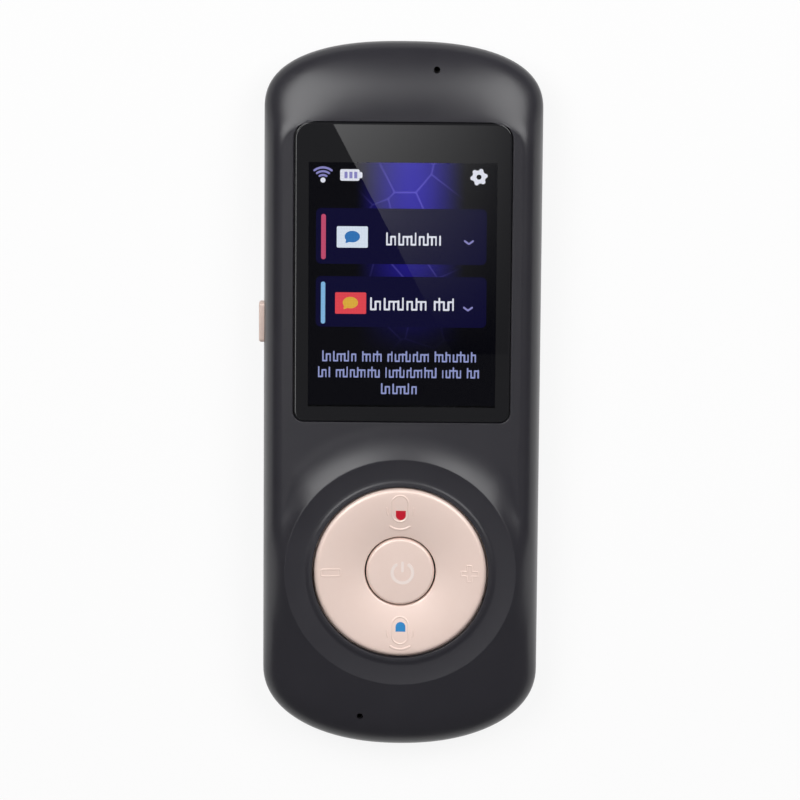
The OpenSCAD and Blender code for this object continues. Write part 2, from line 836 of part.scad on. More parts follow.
// Runs from the tray's lower end down to its socket on the board
module display_flex() {
    leave = tray_top - 2 * flex_film;
    socket = board_top + flex_plug[2];
    reach = flex_plug_drop + flex_insert;
    bend = flex_plug_drop - flex_margin;
    color([0.75, 0.45, 0.15])
        translate([-flex_width / 2, module_low_y, 0])
            rotate([90, 0, 90])
                linear_extrude(flex_width)
                    polygon([
                        [0, leave], [flex_step - bend, leave], [-bend, socket + flex_film],
                        [-reach, socket + flex_film], [-reach, socket], [flex_film - bend, socket],
                        [flex_step + flex_film - bend, leave - flex_film], [0, leave - flex_film]
                    ]);
}

module flex_connector() {
    color([0.85, 0.83, 0.75])
        translate([-flex_plug[0] / 2, module_low_y - flex_plug_drop - flex_plug[1], board_top])
            cube(flex_plug);
}

module lcd_foam() {
    beyond = module_length / 2 - foam_inset;
    color([0.25, 0.25, 0.25])
        for (y = [-beyond, beyond])
            translate([-foam_width / 2, module_y + y - foam_length / 2, board_top])
                cube([foam_width, foam_length, tray_low - board_top]);
}

// Top of the key ring's dish at radius r, steepest at its hole
ring_crest_r = ring_r - rim_edge;
function ring_top(r) =
    rim_z - ring_dish * pow((ring_crest_r - r) / (ring_crest_r - ring_hole_r), 2);
ring_chamfer = 0.15;
ring_under_inset = 0.5;
ring_under_r = ring_crest_r - ring_under_inset;
ring_skirt = 1.2;
ear_y = gimbal_out + ear_gap;
ear_high = ring_top(ear_y) - ring_thick / 2 - pivot_z + ear_drop;

module control_ring() {
    steps = 8;
    dish = [for (i = [1:steps]) ring_hole_r + (ring_crest_r - ring_hole_r) * i / steps];
    under = [for (i = [steps:-1:0]) ring_hole_r + (ring_under_r - ring_hole_r) * i / steps];
    rim = [for (a = [60:-30:0]) [ring_crest_r + rim_edge * cos(a), rim_z - rim_edge + rim_edge * sin(a)]];
    color([0.86, 0.72, 0.66])
        difference() {
            union() {
                at_pad(0)
                    rotate_extrude()
                        polygon(concat(
                            [
                                [ring_hole_r, ring_top(ring_hole_r) - ring_chamfer],
                                [ring_hole_r + ring_chamfer, ring_top(ring_hole_r)]
                            ],
                            [for (r = dish) [r, ring_top(r)]],
                            rim,
                            [
                                [ring_r, flange_top], [flange_r, flange_top],
                                [flange_r, flange_top - flange_thick],
                                [ring_r - ring_skirt, flange_top - flange_thick]
                            ],
                            [for (r = under) [r, ring_top(r) - ring_thick]]
                        ));
                for (a = [0:90:270])
                    at_pad(foot_low)
                        rotate(a) translate([dome_reach, 0, 0])
                            cylinder(r = foot_r, h = ring_top(dome_reach) - ring_thick / 2 - foot_low);
                for (y = [ear_y, -ear_y - ear_thick])
                    at_pad(pivot_z - ear_drop)
                        translate([-ear_width / 2, y, 0])
                            cube([ear_width, ear_thick, ear_high]);
            }
            at_pad(pivot_z)
                for (y = [ear_y, -ear_y - ear_thick])
                    bar_y(y - slack, y + ear_thick + slack, pin_r + pin_play);
        }
}

// Round cap on a stem, with a groove near the stem's end for its snap ring
retainer_gap = 0.05;
retainer_top = hub_step - retainer_gap;
retainer_low = retainer_top - retainer_thick;
groove_play = 0.02;
button_crown = 0.08;
button_edge = 0.6;

module power_button() {
    cap_low = button_z - button_cap;
    edge_z = button_z - button_crown - button_edge;
    edge_r = button_r - button_edge;
    rim = [for (a = [72:-24:0]) [edge_r + button_edge * cos(a), edge_z + button_edge * sin(a)]];
    color([0.88, 0.73, 0.66])
        at_pad(0)
            rotate_extrude()
                polygon(concat(
                    [[0, button_z], [button_r / 2, button_z - button_crown / 4]],
                    rim,
                    [
                        [button_r, cap_low], [stem_r, cap_low], [stem_r, retainer_top + groove_play],
                        [stem_r - groove_depth, retainer_top + groove_play],
                        [stem_r - groove_depth, retainer_low - groove_play],
                        [stem_r, retainer_low - groove_play], [stem_r, foot_low], [0, foot_low]
                    ]
                ));
}

module button_retainer() {
    color([0.9, 0.9, 0.88])
        at_pad(retainer_low)
            difference() {
                cylinder(r = retainer_r, h = retainer_thick);
                translate([0, 0, -over])
                    cylinder(r = stem_r - groove_depth + retainer_play, h = retainer_thick + 2 * over);
                translate([-retainer_slit / 2, 0, -over])
                    cube([retainer_slit, retainer_r + over, retainer_thick + 2 * over]);
            }
}

module gimbal_ring() {
    pin_end = ear_y + ear_thick - slack;
    color([0.8, 0.8, 0.76])
        at_pad(pivot_z) {
            difference() {
                translate([0, 0, -gimbal_high / 2]) cylinder(r = gimbal_out, h = gimbal_high);
                translate([0, 0, -gimbal_high]) cylinder(r = gimbal_in, h = 2 * gimbal_high);
                bar_x(-gimbal_out - over, gimbal_out + over, pin_r + pin_play);
            }
            bar_y(gimbal_out - root, pin_end, pin_r);
            bar_y(-pin_end, root - gimbal_out, pin_r);
        }
}

// Spider that guides the button's stem, carries the gimbal on two pins and is screwed to four bosses
module key_frame() {
    color([0.6, 0.6, 0.62])
        at_pad(0)
            difference() {
                union() {
                    translate([0, 0, frame_low]) cylinder(r = hub_out, h = hub_top - frame_low);
                    for (a = [45:90:315])
                        rotate(a) {
                            translate([hub_out - root, -arm_width / 2, frame_low])
                                cube([frame_screw_reach - hub_out + root, arm_width, arm_thick]);
                            translate([frame_screw_reach, 0, frame_low])
                                cylinder(r = frame_boss_r, h = arm_thick);
                        }
                    translate([0, 0, pivot_z]) {
                        bar_x(hub_out - root, gimbal_out - pin_end_gap, pin_r);
                        bar_x(pin_end_gap - gimbal_out, root - hub_out, pin_r);
                    }
                }
                translate([0, 0, frame_low - over]) {
                    cylinder(r = hub_r, h = hub_top - frame_low + 2 * over);
                    cylinder(r = retainer_r + retainer_room, h = hub_step - frame_low + over);
                }
                for (a = [45:90:315])
                    rotate(a) translate([frame_screw_reach, 0, frame_low - over]) {
                        cylinder(r = frame_screw_r + frame_screw_play, h = arm_thick + 2 * over);
                        cylinder(r = frame_head_r + frame_screw_play, h = frame_head_high + over);
                    }
            }
}

// A screw that points up, its head's top face at z = 0
module screw(head_r, head_high, shank_r, reach) {
    translate([0, 0, -head_high]) cylinder(r = head_r, h = head_high);
    cylinder(r = shank_r, h = reach);
}

module key_frame_screws() {
    color([0.55, 0.55, 0.55])
        for (p = frame_screws_at)
            translate([p[0], p[1], frame_low + frame_head_high])
                screw(frame_head_r, frame_head_high, frame_screw_r - thread_play, frame_shank);
}

// Snap dome of thin sprung steel
module dome(reach, angle) {
    film = 0.1;
    color([0.8, 0.8, 0.82])
        at_pad(board_top)
            rotate(angle) translate([reach, 0, 0])
                rotate_extrude()
                    polygon(concat(
                        [for (i = [0:6]) [dome_r * i / 6, dome_high * cos(15 * i)]],
                        [for (i = [6:-1:0]) [(dome_r - film) * i / 6, (dome_high - film) * cos(15 * i)]]
                    ));
}
module dome_up() { dome(dome_reach, 90); }
module dome_down() { dome(dome_reach, 270); }
module dome_left() { dome(dome_reach, 180); }
module dome_right() { dome(dome_reach, 0); }
module dome_centre() { dome(0, 0); }

// Cap through the wall, with a flange that keeps it from falling out
module side_button() {
    l = side_button_length / 2;
    h = side_button_high / 2;
    out = side_x + side_button_proud;
    color([0.86, 0.72, 0.66])
        translate([0, side_button_y, switch_z]) {
            translate([0, 0, -h])
                linear_extrude(2 * h)
                    polygon([
                        [-out, side_chamfer - l], [side_chamfer - out, -l], [-side_flange_x, -l],
                        [-side_flange_x, l], [side_chamfer - out, l], [-out, l - side_chamfer]
                    ]);
            translate([-side_flange_x - side_flange[0], -l - side_flange[1] / 2, -h - side_flange[2]])
                cube([side_flange[0], 2 * l + side_flange[1], 2 * (h + side_flange[2])]);
        }
}

module side_switch_body() {
    hollow = [plunger_size[1] + 2 * slack, plunger_size[2] + 2 * slack];
    color([0.15, 0.15, 0.15])
        translate([-switch_x, side_button_y, switch_z])
            difference() {
                translate([0, -switch_size[1] / 2, -switch_size[2] / 2]) cube(switch_size);
                translate([-over, -hollow[0] / 2, -hollow[1] / 2])
                    cube([over + press_travel + slack, hollow[0], hollow[1]]);
            }
}

module side_switch_plunger() {
    color([0.9, 0.9, 0.9])
        translate([-switch_x - plunger_size[0], side_button_y, switch_z])
            translate([0, -plunger_size[1] / 2, -plunger_size[2] / 2]) cube(plunger_size);
}

module main_board() {
    color([0.05, 0.25, 0.15])
        translate([0, 0, board_low])
            linear_extrude(board_thick)
                difference() {
                    union() {
                        translate([0, board_y]) rounded_rect(board_width, board_length, board_corner);
                        translate([-tail_width / 2, tail_end_y])
                            square([tail_width, board_low_y - tail_end_y + over]);
                    }
                    for (p = board_screws_at)
                        translate([p[0], p[1]]) circle(board_screw_r + screw_play);
                    translate([-board_width / 2 - over, side_button_y - notch_length / 2])
                        square([over + notch_deep, notch_length]);
                }
}

module shield_can() {
    color([0.7, 0.71, 0.72])
        translate([0, can_y, board_low])
            difference() {
                translate([-can_size[0] / 2, -can_size[1] / 2, -can_size[2]]) cube(can_size);
                translate([can_wall - can_size[0] / 2, can_wall - can_size[1] / 2, can_wall - can_size[2]])
                    cube([can_size[0] - 2 * can_wall, can_size[1] - 2 * can_wall, can_size[2]]);
            }
}

module main_chip() {
    color([0.08, 0.08, 0.08])
        translate([-chip_size[0] / 2, can_y - chip_size[1] / 2, board_low - chip_size[2]]) cube(chip_size);
}

module board_screws() {
    color([0.7, 0.7, 0.7])
        for (p = board_screws_at)
            translate([p[0], p[1], board_low])
                screw(board_head_r, board_head_high, board_screw_r - thread_play, board_thick + board_thread);
}

module battery() {
    color([0.62, 0.63, 0.66])
        translate([0, battery_y, battery_low])
            linear_extrude(battery_thick) rounded_rect(battery_width, battery_length, battery_corner);
}

module battery_tape() {
    color([0.9, 0.9, 0.85])
        for (x = [-1, 1])
            translate([x * battery_width / 4 - tape_width / 2, battery_end_y + tape_margin, wall])
                cube([tape_width, battery_length - 2 * tape_margin, tape_thick]);
}

// Flat two-core lead from the battery's lower end up to its socket under the board
module battery_lead() {
    leave = battery_low + battery_thick * 0.7;
    socket = board_low - connector_size[2] / 2;
    run = battery_end_y - connector_at[1] - connector_size[1] / 2;
    high = socket + lead_thick / 2;
    low = socket - lead_thick / 2;
    color([0.6, 0.1, 0.1])
        translate([connector_at[0] - lead_width / 2, battery_end_y, 0])
            rotate([90, 0, 90])
                linear_extrude(lead_width)
                    polygon([
                        [0, leave], [-lead_bend, leave], [lead_bend - run, high], [-run, high], [-run, low],
                        [lead_bend + lead_skew - run, low], [lead_skew - lead_bend, leave - lead_thick],
                        [0, leave - lead_thick]
                    ]);
}

module battery_connector() {
    color([0.95, 0.95, 0.9])
        translate([connector_at[0] - connector_size[0] / 2, connector_at[1] - connector_size[1] / 2, 0])
            translate([0, 0, board_low - connector_size[2]]) cube(connector_size);
}

module speaker() {
    color([0.3, 0.3, 0.32])
        translate([0, speaker_y, wall + gasket_high]) {
            cylinder(r = speaker_r, h = speaker_thick - magnet_high);
            translate([0, 0, speaker_thick - magnet_high - root])
                cylinder(r = magnet_r, h = magnet_high + root);
        }
}

module speaker_gasket() {
    color([0.2, 0.2, 0.2])
        translate([0, speaker_y, wall])
            difference() {
                cylinder(r = gasket_in + gasket_wide, h = gasket_high);
                translate([0, 0, -over]) cylinder(r = gasket_in, h = gasket_high + 2 * over);
            }
}

module speaker_mesh() {
    color([0.12, 0.12, 0.12])
        translate([0, speaker_y, wall]) cylinder(r = gasket_in - slack, h = mesh_thick);
}

module microphone(p) {
    color([0.78, 0.78, 0.8])
        translate([p[0], p[1], boot_low(p)]) cylinder(r = mic_r, h = mic_high);
}
module mic_boot(p) {
    color([0.12, 0.12, 0.12])
        translate([p[0], p[1], boot_low(p)])
            difference() {
                cylinder(r = boot_r, h = boot_high);
                translate([0, 0, -over]) cylinder(r = mic_r + mic_play, h = mic_high + boot_play + over);
                cylinder(r = mic_hole_r, h = boot_high + over);
            }
}
module microphone_top() { microphone(mic_top_at); }
module mic_boot_top() { mic_boot(mic_top_at); }
module microphone_bottom() { microphone(mic_low_at); }
module mic_boot_bottom() { mic_boot(mic_low_at); }

module usb_shell() {
    color([0.75, 0.76, 0.78])
        translate([0, 0, usb_z])
            difference() {
                pill_y(usb_width, usb_high, usb_mouth_y, usb_mouth_y + usb_deep);
                pill_y(
                    usb_width - 2 * usb_wall, usb_high - 2 * usb_wall,
                    usb_mouth_y - over, usb_mouth_y + usb_deep - usb_back
                );
            }
}

module usb_tongue() {
    color([0.1, 0.1, 0.1])
        translate([-tongue_size[0] / 2, usb_mouth_y + tongue_inset, usb_z - tongue_size[2] / 2])
            cube(tongue_size);
}

module wifi_antenna() {
    half = case_screw_top[0] - pillar_r - antenna_gap;
    color([0.7, 0.45, 0.2])
        translate([-half, case_screw_top[1] - antenna_drop, wall])
            cube([2 * half, antenna_width, antenna_thick]);
}

module case_screws() {
    color([0.25, 0.25, 0.26])
        for (p = case_screws_at)
            translate([p[0], p[1], pillar_seat])
                screw(case_head_r, case_head_high, case_screw_r - thread_play, case_shank);
}

front_shell();
rear_shell();
screen_glass();
glass_gasket();
lcd_cell();
backlight_tray();
display_flex();
flex_connector();
lcd_foam();
control_ring();
power_button();
button_retainer();
gimbal_ring();
key_frame();
key_frame_screws();
dome_up();
dome_down();
dome_left();
dome_right();
dome_centre();
side_button();
side_switch_body();
side_switch_plunger();
main_board();
shield_can();
main_chip();
board_screws();
battery();
battery_tape();
battery_lead();
battery_connector();
speaker();
speaker_gasket();
speaker_mesh();
microphone_top();
mic_boot_top();
microphone_bottom();
mic_boot_bottom();
usb_shell();
usb_tongue();
wifi_antenna();
case_screws();
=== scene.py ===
import math

import bmesh
import bpy
import numpy as np
from mathutils import Matrix, Vector


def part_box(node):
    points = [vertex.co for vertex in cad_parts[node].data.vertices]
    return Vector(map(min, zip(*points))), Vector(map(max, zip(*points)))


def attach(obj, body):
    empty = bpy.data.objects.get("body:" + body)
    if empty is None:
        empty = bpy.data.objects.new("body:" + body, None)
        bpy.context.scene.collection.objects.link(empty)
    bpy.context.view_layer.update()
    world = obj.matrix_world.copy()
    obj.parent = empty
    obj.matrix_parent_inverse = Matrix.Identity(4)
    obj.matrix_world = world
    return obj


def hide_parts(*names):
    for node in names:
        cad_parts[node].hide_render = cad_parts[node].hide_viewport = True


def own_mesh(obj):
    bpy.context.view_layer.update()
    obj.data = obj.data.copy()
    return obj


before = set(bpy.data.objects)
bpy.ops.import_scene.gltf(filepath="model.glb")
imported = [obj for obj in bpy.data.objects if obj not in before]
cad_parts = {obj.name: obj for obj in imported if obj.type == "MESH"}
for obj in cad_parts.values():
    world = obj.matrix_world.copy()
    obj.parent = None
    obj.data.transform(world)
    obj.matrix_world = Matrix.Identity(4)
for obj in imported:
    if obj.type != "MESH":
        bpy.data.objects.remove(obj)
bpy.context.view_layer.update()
mm = 0.001  # the frame is in metres, and the sizes below are in millimetres
TAU = 2 * math.pi

# ---- Back of the case ----
# The lower half of a two-shell case, injection-moulded in dark grey ABS. Its walls roll in to the
# flat face that it rests on, and a tongue round its rim fits into a rebate of the front half.
half_width = 27.3
end_tip = 71.0
# An outline is its half width and, for its top end and its low end, the tip's distance from the middle, the
# depth of the end curve, and the curve's power.
outline = (half_width, (end_tip, 13.3, 2.4), (end_tip, 15.8, 2.15))
side_points, end_points = 30, 56
wall = 1.6
split_z = 7.4
joint_gap = 0.01
tongue_high, tongue_play = 0.8, 0.1
edge_break = 0.12
roll_power = 2.2
back_side_roll, back_end_roll = 6.0, 7.0


def linear(colour):
    """An sRGB hex colour as linear red, green, blue and alpha. Each channel is ((c + 0.055) / 1.055) ^ 2.4,
    or c / 12.92 where it is very dark."""
    part = np.array([int(colour[i:i + 2], 16) for i in (1, 3, 5)]) / 255
    part = np.where(part <= 0.04045, part / 12.92, ((part + 0.055) / 1.055) ** 2.4)
    return (*part, 1.0)


def add_node(tree, kind, settings=None, **links):
    """Adds a node. The settings are its own properties, and each link is a value or another node's output
    for the input of that name, with _ for a space, or of that number after a _."""
    node = tree.nodes.new("ShaderNode" + kind)
    for name, value in (settings or {}).items():
        setattr(node, name, value)
    for name, value in links.items():
        socket = node.inputs[int(name[1:])] if name[1:].isdigit() else node.inputs[name.replace("_", " ")]
        if isinstance(value, bpy.types.NodeSocket):
            tree.links.new(value, socket)
        else:
            socket.default_value = value
    return node


def new_material(name):
    """An empty node material, its tree, its Principled shader and the object's own coordinates."""
    material = bpy.data.materials.new(name)
    material.use_nodes = True
    tree = material.node_tree
    shader = tree.nodes["Principled BSDF"]
    place = add_node(tree, "TexCoord").outputs["Object"]
    return material, tree, shader, place


in_colour = {"data_type": "RGBA"}


def moulded(name, colour, fleck, rough, grain_mm, relief_mm, metal=0.0, **sockets):
    """A surface with a fine grain. Two noises, 35 % of one as fine as the grain and 65 % of one 40 grains
    wide, shade the colour toward its fleck and move the roughness by a tenth. The fine one alone is the
    relief."""
    material, tree, shader, place = new_material(name)
    fine = add_node(tree, "TexNoise", Vector=place, Scale=1 / (grain_mm * mm), Detail=2.0, Roughness=0.6)
    wide = add_node(tree, "TexNoise", Vector=place, Scale=1 / (40 * grain_mm * mm), Detail=3.0)
    blend = add_node(tree, "Mix", {"data_type": "FLOAT"}, _0=0.35, _2=wide.outputs[0], _3=fine.outputs[0])
    tint = add_node(tree, "Mix", in_colour, _0=blend.outputs[0], _6=linear(colour), _7=linear(fleck))
    dull = add_node(tree, "MapRange", Value=blend.outputs[0], From_Min=0.3, From_Max=0.7,
                    To_Min=rough * 0.9, To_Max=min(1, rough * 1.1))
    bump = add_node(tree, "Bump", Height=fine.outputs[0], Distance=relief_mm * mm, Strength=1.0)
    tree.links.new(tint.outputs[2], shader.inputs["Base Color"])
    tree.links.new(dull.outputs[0], shader.inputs["Roughness"])
    tree.links.new(bump.outputs[0], shader.inputs["Normal"])
    shader.inputs["Metallic"].default_value = metal
    for socket, value in sockets.items():
        shader.inputs[socket.replace("_", " ")].default_value = value
    return material


def skin(name, grids, material, crease=32):
    """One mesh from grids of points in mm, each (rows, columns, xyz), with a face between every four
    neighbours. A grid that closes on itself repeats its first column. Points that fall together are
    merged."""
    merge_within = 0.002 * mm
    points, faces, base = [], [], 0
    for grid in grids:
        rows, columns = grid.shape[:2]
        index = base + np.arange(rows * columns).reshape(rows, columns)
        quads = [index[:-1, :-1], index[:-1, 1:], index[1:, 1:], index[1:, :-1]]
        faces.append(np.stack(quads, axis=-1).reshape(-1, 4))
        points.append(grid.reshape(-1, 3))
        base += rows * columns
    mesh = bpy.data.meshes.new(name)
    mesh.from_pydata(np.concatenate(points) * mm, [], np.concatenate(faces))
    piece = bpy.data.objects.new(name, mesh)
    bpy.context.scene.collection.objects.link(piece)
    work = bmesh.new()
    work.from_mesh(mesh)
    bmesh.ops.remove_doubles(work, verts=work.verts, dist=merge_within)
    bmesh.ops.recalc_face_normals(work, faces=work.faces)
    work.to_mesh(mesh)
    work.free()
    mesh.materials.append(material)
    smooth(piece, crease)
    return piece


def smooth(piece, crease=32):
    """Smooth shading, broken at edges that turn more than crease degrees."""
    piece.data.polygons.foreach_set("use_smooth", np.ones(len(piece.data.polygons), dtype=bool))
    piece.data.set_sharp_from_angle(angle=math.radians(crease))


def carve(piece, how, grids, crease=32):
    """Joins closed shapes to a piece (UNION) or cuts them out of it (DIFFERENCE), applied at once."""
    tool = skin("tool", grids, piece.data.materials[0])
    step = piece.modifiers.new("carve", "BOOLEAN")
    step.operation, step.solver, step.object = how, "EXACT", tool
    piece.data = bpy.data.meshes.new_from_object(piece.evaluated_get(bpy.context.evaluated_depsgraph_get()))
    piece.modifiers.clear()
    bpy.data.objects.remove(tool)
    smooth(piece, crease)


def closed(loop):
    """A loop of points with its first point repeated at its end."""
    return np.concatenate([loop, loop[:1]])


def at(loop, z):
    """A plan loop lifted to height z, which is one number or one for each point."""
    return np.column_stack([loop, np.broadcast_to(z, len(loop))])


def drawn_in(plan, side, end, shorter):
    """An outline moved inwards at its sides and ends, its end curves made shorter."""
    half, *ends = plan
    return (half - side, *((tip - end, depth - shorter, power) for tip, depth, power in ends))


def plan_loop(plan):
    """A closed outline. Its sides are straight, and each end is half a superellipse |x / half|^n + |y /
    depth|^n = 1, on which x goes with cos(a)^(2/n) and y with sin(a)^(2/n)."""
    half, top, low = plan
    turn = np.linspace(0, math.pi, end_points + 1)
    ends = []
    for sign, (tip, depth, power) in ((1, top), (-1, low)):
        x = sign * np.sign(np.cos(turn)) * np.abs(np.cos(turn)) ** (2 / power) * half
        y = sign * (tip - depth + depth * np.abs(np.sin(turn)) ** (2 / power))
        ends.append(np.column_stack([x, y]))
    run = np.linspace(0, 1, side_points + 1)[1:-1, None]
    left = ends[0][-1] + (ends[1][0] - ends[0][-1]) * run
    right = ends[1][-1] + (ends[0][0] - ends[1][-1]) * run
    return closed(np.concatenate([ends[0], left, ends[1], right]))


def turned(centre, profile, steps=40):
    """A solid of revolution about an upright axis through centre: each (radius, height) of the profile goes
    round to (r cos(a), r sin(a), height)."""
    around = np.linspace(0, TAU, steps + 1)
    r, z = np.array(profile, dtype=float).T[:, :, None]
    return np.stack([centre[0] + r * np.cos(around), centre[1] + r * np.sin(around), z + 0 * around], axis=-1)


def peg(centre, r, low, high, steps=40):
    """A round bar that stands upright, closed at both ends."""
    return turned(centre, [(0, low), (r, low), (r, high), (0, high)], steps)


def block(low, high):
    """A box as one grid: a ring of four corners carried up, closed at its two ends by its middle."""
    (x0, y0, z0), (x1, y1, z1) = low, high
    ring = np.array([(x0, y0), (x1, y0), (x1, y1), (x0, y1), (x0, y0)], dtype=float)
    hub = ring * 0 + ((x0 + x1) / 2, (y0 + y1) / 2)
    return np.stack([at(hub, z0), at(ring, z0), at(ring, z1), at(hub, z1)])


# Moulded ABS with a fine spark texture: nearly black grey, with wide soft highlights and no mirror image.
case_plastic = moulded("satin_moulded_abs", "#2a292e", "#2f2e33", rough=0.31, grain_mm=0.22, relief_mm=0.004,
                       Specular_IOR_Level=0.4)

# The roll of the back is a quarter of a superellipse, from the parting line down to the flat face.
quarter = np.linspace(0, math.pi / 2, 23)
draws = 1 - np.cos(quarter) ** (2 / roll_power)
draws[-1] = 1
drops = np.sin(quarter) ** (2 / roll_power)


def rear_ring(plan, draw, z):
    """The back's outline at height z, drawn in by a share of the roll, and its end curves by half as
    much."""
    side, end = back_side_roll * draw, back_end_roll * draw
    return at(plan_loop(drawn_in(plan, side, end, end / 2)), z)


def to_midline(ring, shares, along=0.7):
    """Rings drawn in toward a line in the middle of the case: x by each share, and y by only a part of
    it."""
    return [ring * (1 - share, 1 - along * share, 1) for share in shares]


inner_plan = drawn_in(outline, wall, wall, wall)
outer_rings = [
    rear_ring(outline, draw, max(0.0, split_z - (split_z - edge_break) * drop - edge_break))
    for draw, drop in zip(draws, drops)
]
inner_rings = [
    rear_ring(inner_plan, draw, split_z - (split_z - wall) * drop)
    for draw, drop in zip(draws[::2], drops[::2])
]
tongue_in = wall / 2 + tongue_play
tongue_rings = [
    at(plan_loop(drawn_in(outline, inset, inset, inset)), z) for inset, z in (
        (edge_break, split_z - joint_gap), (tongue_in, split_z - joint_gap),
        (tongue_in, split_z + tongue_high), (wall, split_z + tongue_high))
]
rear_rings = (
    to_midline(outer_rings[-1], (1, 0.75, 0.5, 0.25)) + outer_rings[::-1] + tongue_rings + inner_rings
    + to_midline(inner_rings[-1], (0.5, 1))
)
rear_housing = skin("rear_housing", [np.stack(rear_rings)], case_plastic)

# Inside stand four pillars for the screws, low ribs round the battery, and a ring round the speaker.
case_screws_at = [(14, 59.5), (-14, 59.5), (13, -60.5), (-13, -60.5)]
screw_head_r, screw_seat_z = 1.7, 5.6
pillar_r, pillar_foot = screw_head_r + 1, 1.0
seat = 0.1
rib, rib_foot, rib_high = 0.8, 1.2, 4.6
rib_inset, end_rib_half = 6, 8
battery_low, battery_high = np.array(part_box("battery")) / mm
side_ribs = [
    block((x, battery_low[1] + rib_inset, rib_foot), (x + rib, battery_high[1] - rib_inset, rib_high))
    for x in (battery_high[0] + seat, battery_low[0] - seat - rib)
]
end_ribs = [
    block((-end_rib_half, y, rib_foot), (end_rib_half, y + rib, rib_high))
    for y in (battery_high[1] + seat, battery_low[1] - seat - rib)
]
speaker_y = -30.0
speaker_low, speaker_high = np.array(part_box("speaker")) / mm
ring_in = (speaker_high[0] - speaker_low[0]) / 2 + seat
ring_out = ring_in + rib
speaker_ring = turned((0, speaker_y), [
    (ring_in, rib_foot), (ring_out, rib_foot), (ring_out, rib_high), (ring_in, rib_high), (ring_in, rib_foot),
], steps=62)
pillars = [peg(centre, pillar_r, pillar_foot, split_z - joint_gap) for centre in case_screws_at]
carve(rear_housing, "UNION", pillars + side_ribs + end_ribs + [speaker_ring])

# The speaker's grille is a hole with two rings of six and twelve round it.
grille_pitch, grille_hole_r, grille_flare = 2.1, 0.5, 0.12
grille_holes = [(0.0, speaker_y)] + [
    (ring * grille_pitch * math.cos(turn), speaker_y + ring * grille_pitch * math.sin(turn))
    for ring in (1, 2) for turn in TAU * np.arange(6 * ring) / (6 * ring)
]


def grille_bore(centre):
    """A hole through the floor of the back, its outer edge broken by a small flare at 45 degrees."""
    top = wall + 1
    return turned(centre, [
        (0, -1), (grille_hole_r + grille_flare + 1, -1), (grille_hole_r, grille_flare),
        (grille_hole_r, top), (0, top),
    ], steps=32)


screw_bore_r, shank_bore_r, bore_flare = 1.9, 1.0, 0.15


def screw_bore(centre):
    """A screw's way in: a wide bore with a flared mouth up to the seat of the head, and a narrow one past
    it."""
    top = split_z + 1
    return turned(centre, [
        (0, -1), (screw_bore_r + bore_flare + 1, -1), (screw_bore_r, bore_flare),
        (screw_bore_r, screw_seat_z), (shank_bore_r, screw_seat_z), (shank_bore_r, top), (0, top)])


def port_slot(low, high, y_from, y_to):
    """A bar along the case from y_from to y_to, whose section is a rectangle with half circles at its
    ends."""
    r, mid = (high[2] - low[2]) / 2, (low[2] + high[2]) / 2
    turn = np.linspace(-math.pi / 2, math.pi / 2, 17)
    right = np.column_stack([high[0] - r + r * np.cos(turn), mid + r * np.sin(turn)])
    loop = closed(np.concatenate([right, right[::-1] * (-1, 1)]))
    hub = loop * 0 + (0, mid)
    rings = ((hub, y_from), (loop, y_from), (loop, low[1]), (loop, y_to), (hub, y_to))
    return np.stack([np.column_stack([ring[:, 0], np.full(len(ring), y), ring[:, 1]]) for ring, y in rings])


# Both halves have a part of the port's opening and of the side key's slot.
usb_low, usb_high = np.array(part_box("usb_shell")) / mm
usb_gap, usb_deep = 0.2, 4
usb_slot = port_slot(usb_low - usb_gap, usb_high + usb_gap, -end_tip - 1, usb_low[1] + usb_deep)
side_low, side_high = np.array(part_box("side_button")) / mm
side_mid = ((side_low + side_high) / 2)[1:]
side_half = np.array([8.1, 2.6]) / 2
side_play = 0.15
side_slot = block((-half_width - 1, *(side_mid - side_half - side_play)),
                  (-half_width + wall + 1, *(side_mid + side_half + side_play)))
carve(rear_housing, "DIFFERENCE", [grille_bore(centre) for centre in grille_holes]
      + [screw_bore(centre) for centre in case_screws_at] + [usb_slot, side_slot])
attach(rear_housing, "case")
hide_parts("rear_shell")

# ---- Battery ----
# A lithium pouch cell in aluminium laminate, held to the floor by foam tape between four low ribs.
# Its twin lead is soldered to a small plug that clips into the board's socket.


def finish(material, *names):
    """Gives a material to pieces whose shape comes with the frame."""
    for name in names:
        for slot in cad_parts[name].material_slots:
            slot.material = material


# Aluminium laminate, drawn over the cell: soft metal gloss, with shallow creases about 6 mm apart, whose
# lines are painted darker as painted shade in the creases.
pouch_foil, tree, shader, place = new_material("laminated_aluminium_foil")
fold = add_node(tree, "TexVoronoi", {"feature": "DISTANCE_TO_EDGE"}, Vector=place, Scale=1 / (6 * mm),
                Randomness=1.0)
flat = add_node(tree, "MapRange", Value=fold.outputs[0], From_Max=0.12)
# Painted shade: the foil's colour is darker along the creases.
tone = add_node(tree, "Mix", in_colour, _0=flat.outputs[0], _6=linear("#8f9196"), _7=linear("#a9abb0"))
dent = add_node(tree, "Bump", Height=flat.outputs[0], Distance=0.05 * mm, Strength=1.0)
tree.links.new(tone.outputs[2], shader.inputs["Base Color"])
tree.links.new(dent.outputs[0], shader.inputs["Normal"])
shader.inputs["Metallic"].default_value = 1.0
shader.inputs["Roughness"].default_value = 0.34
finish(pouch_foil, "battery")

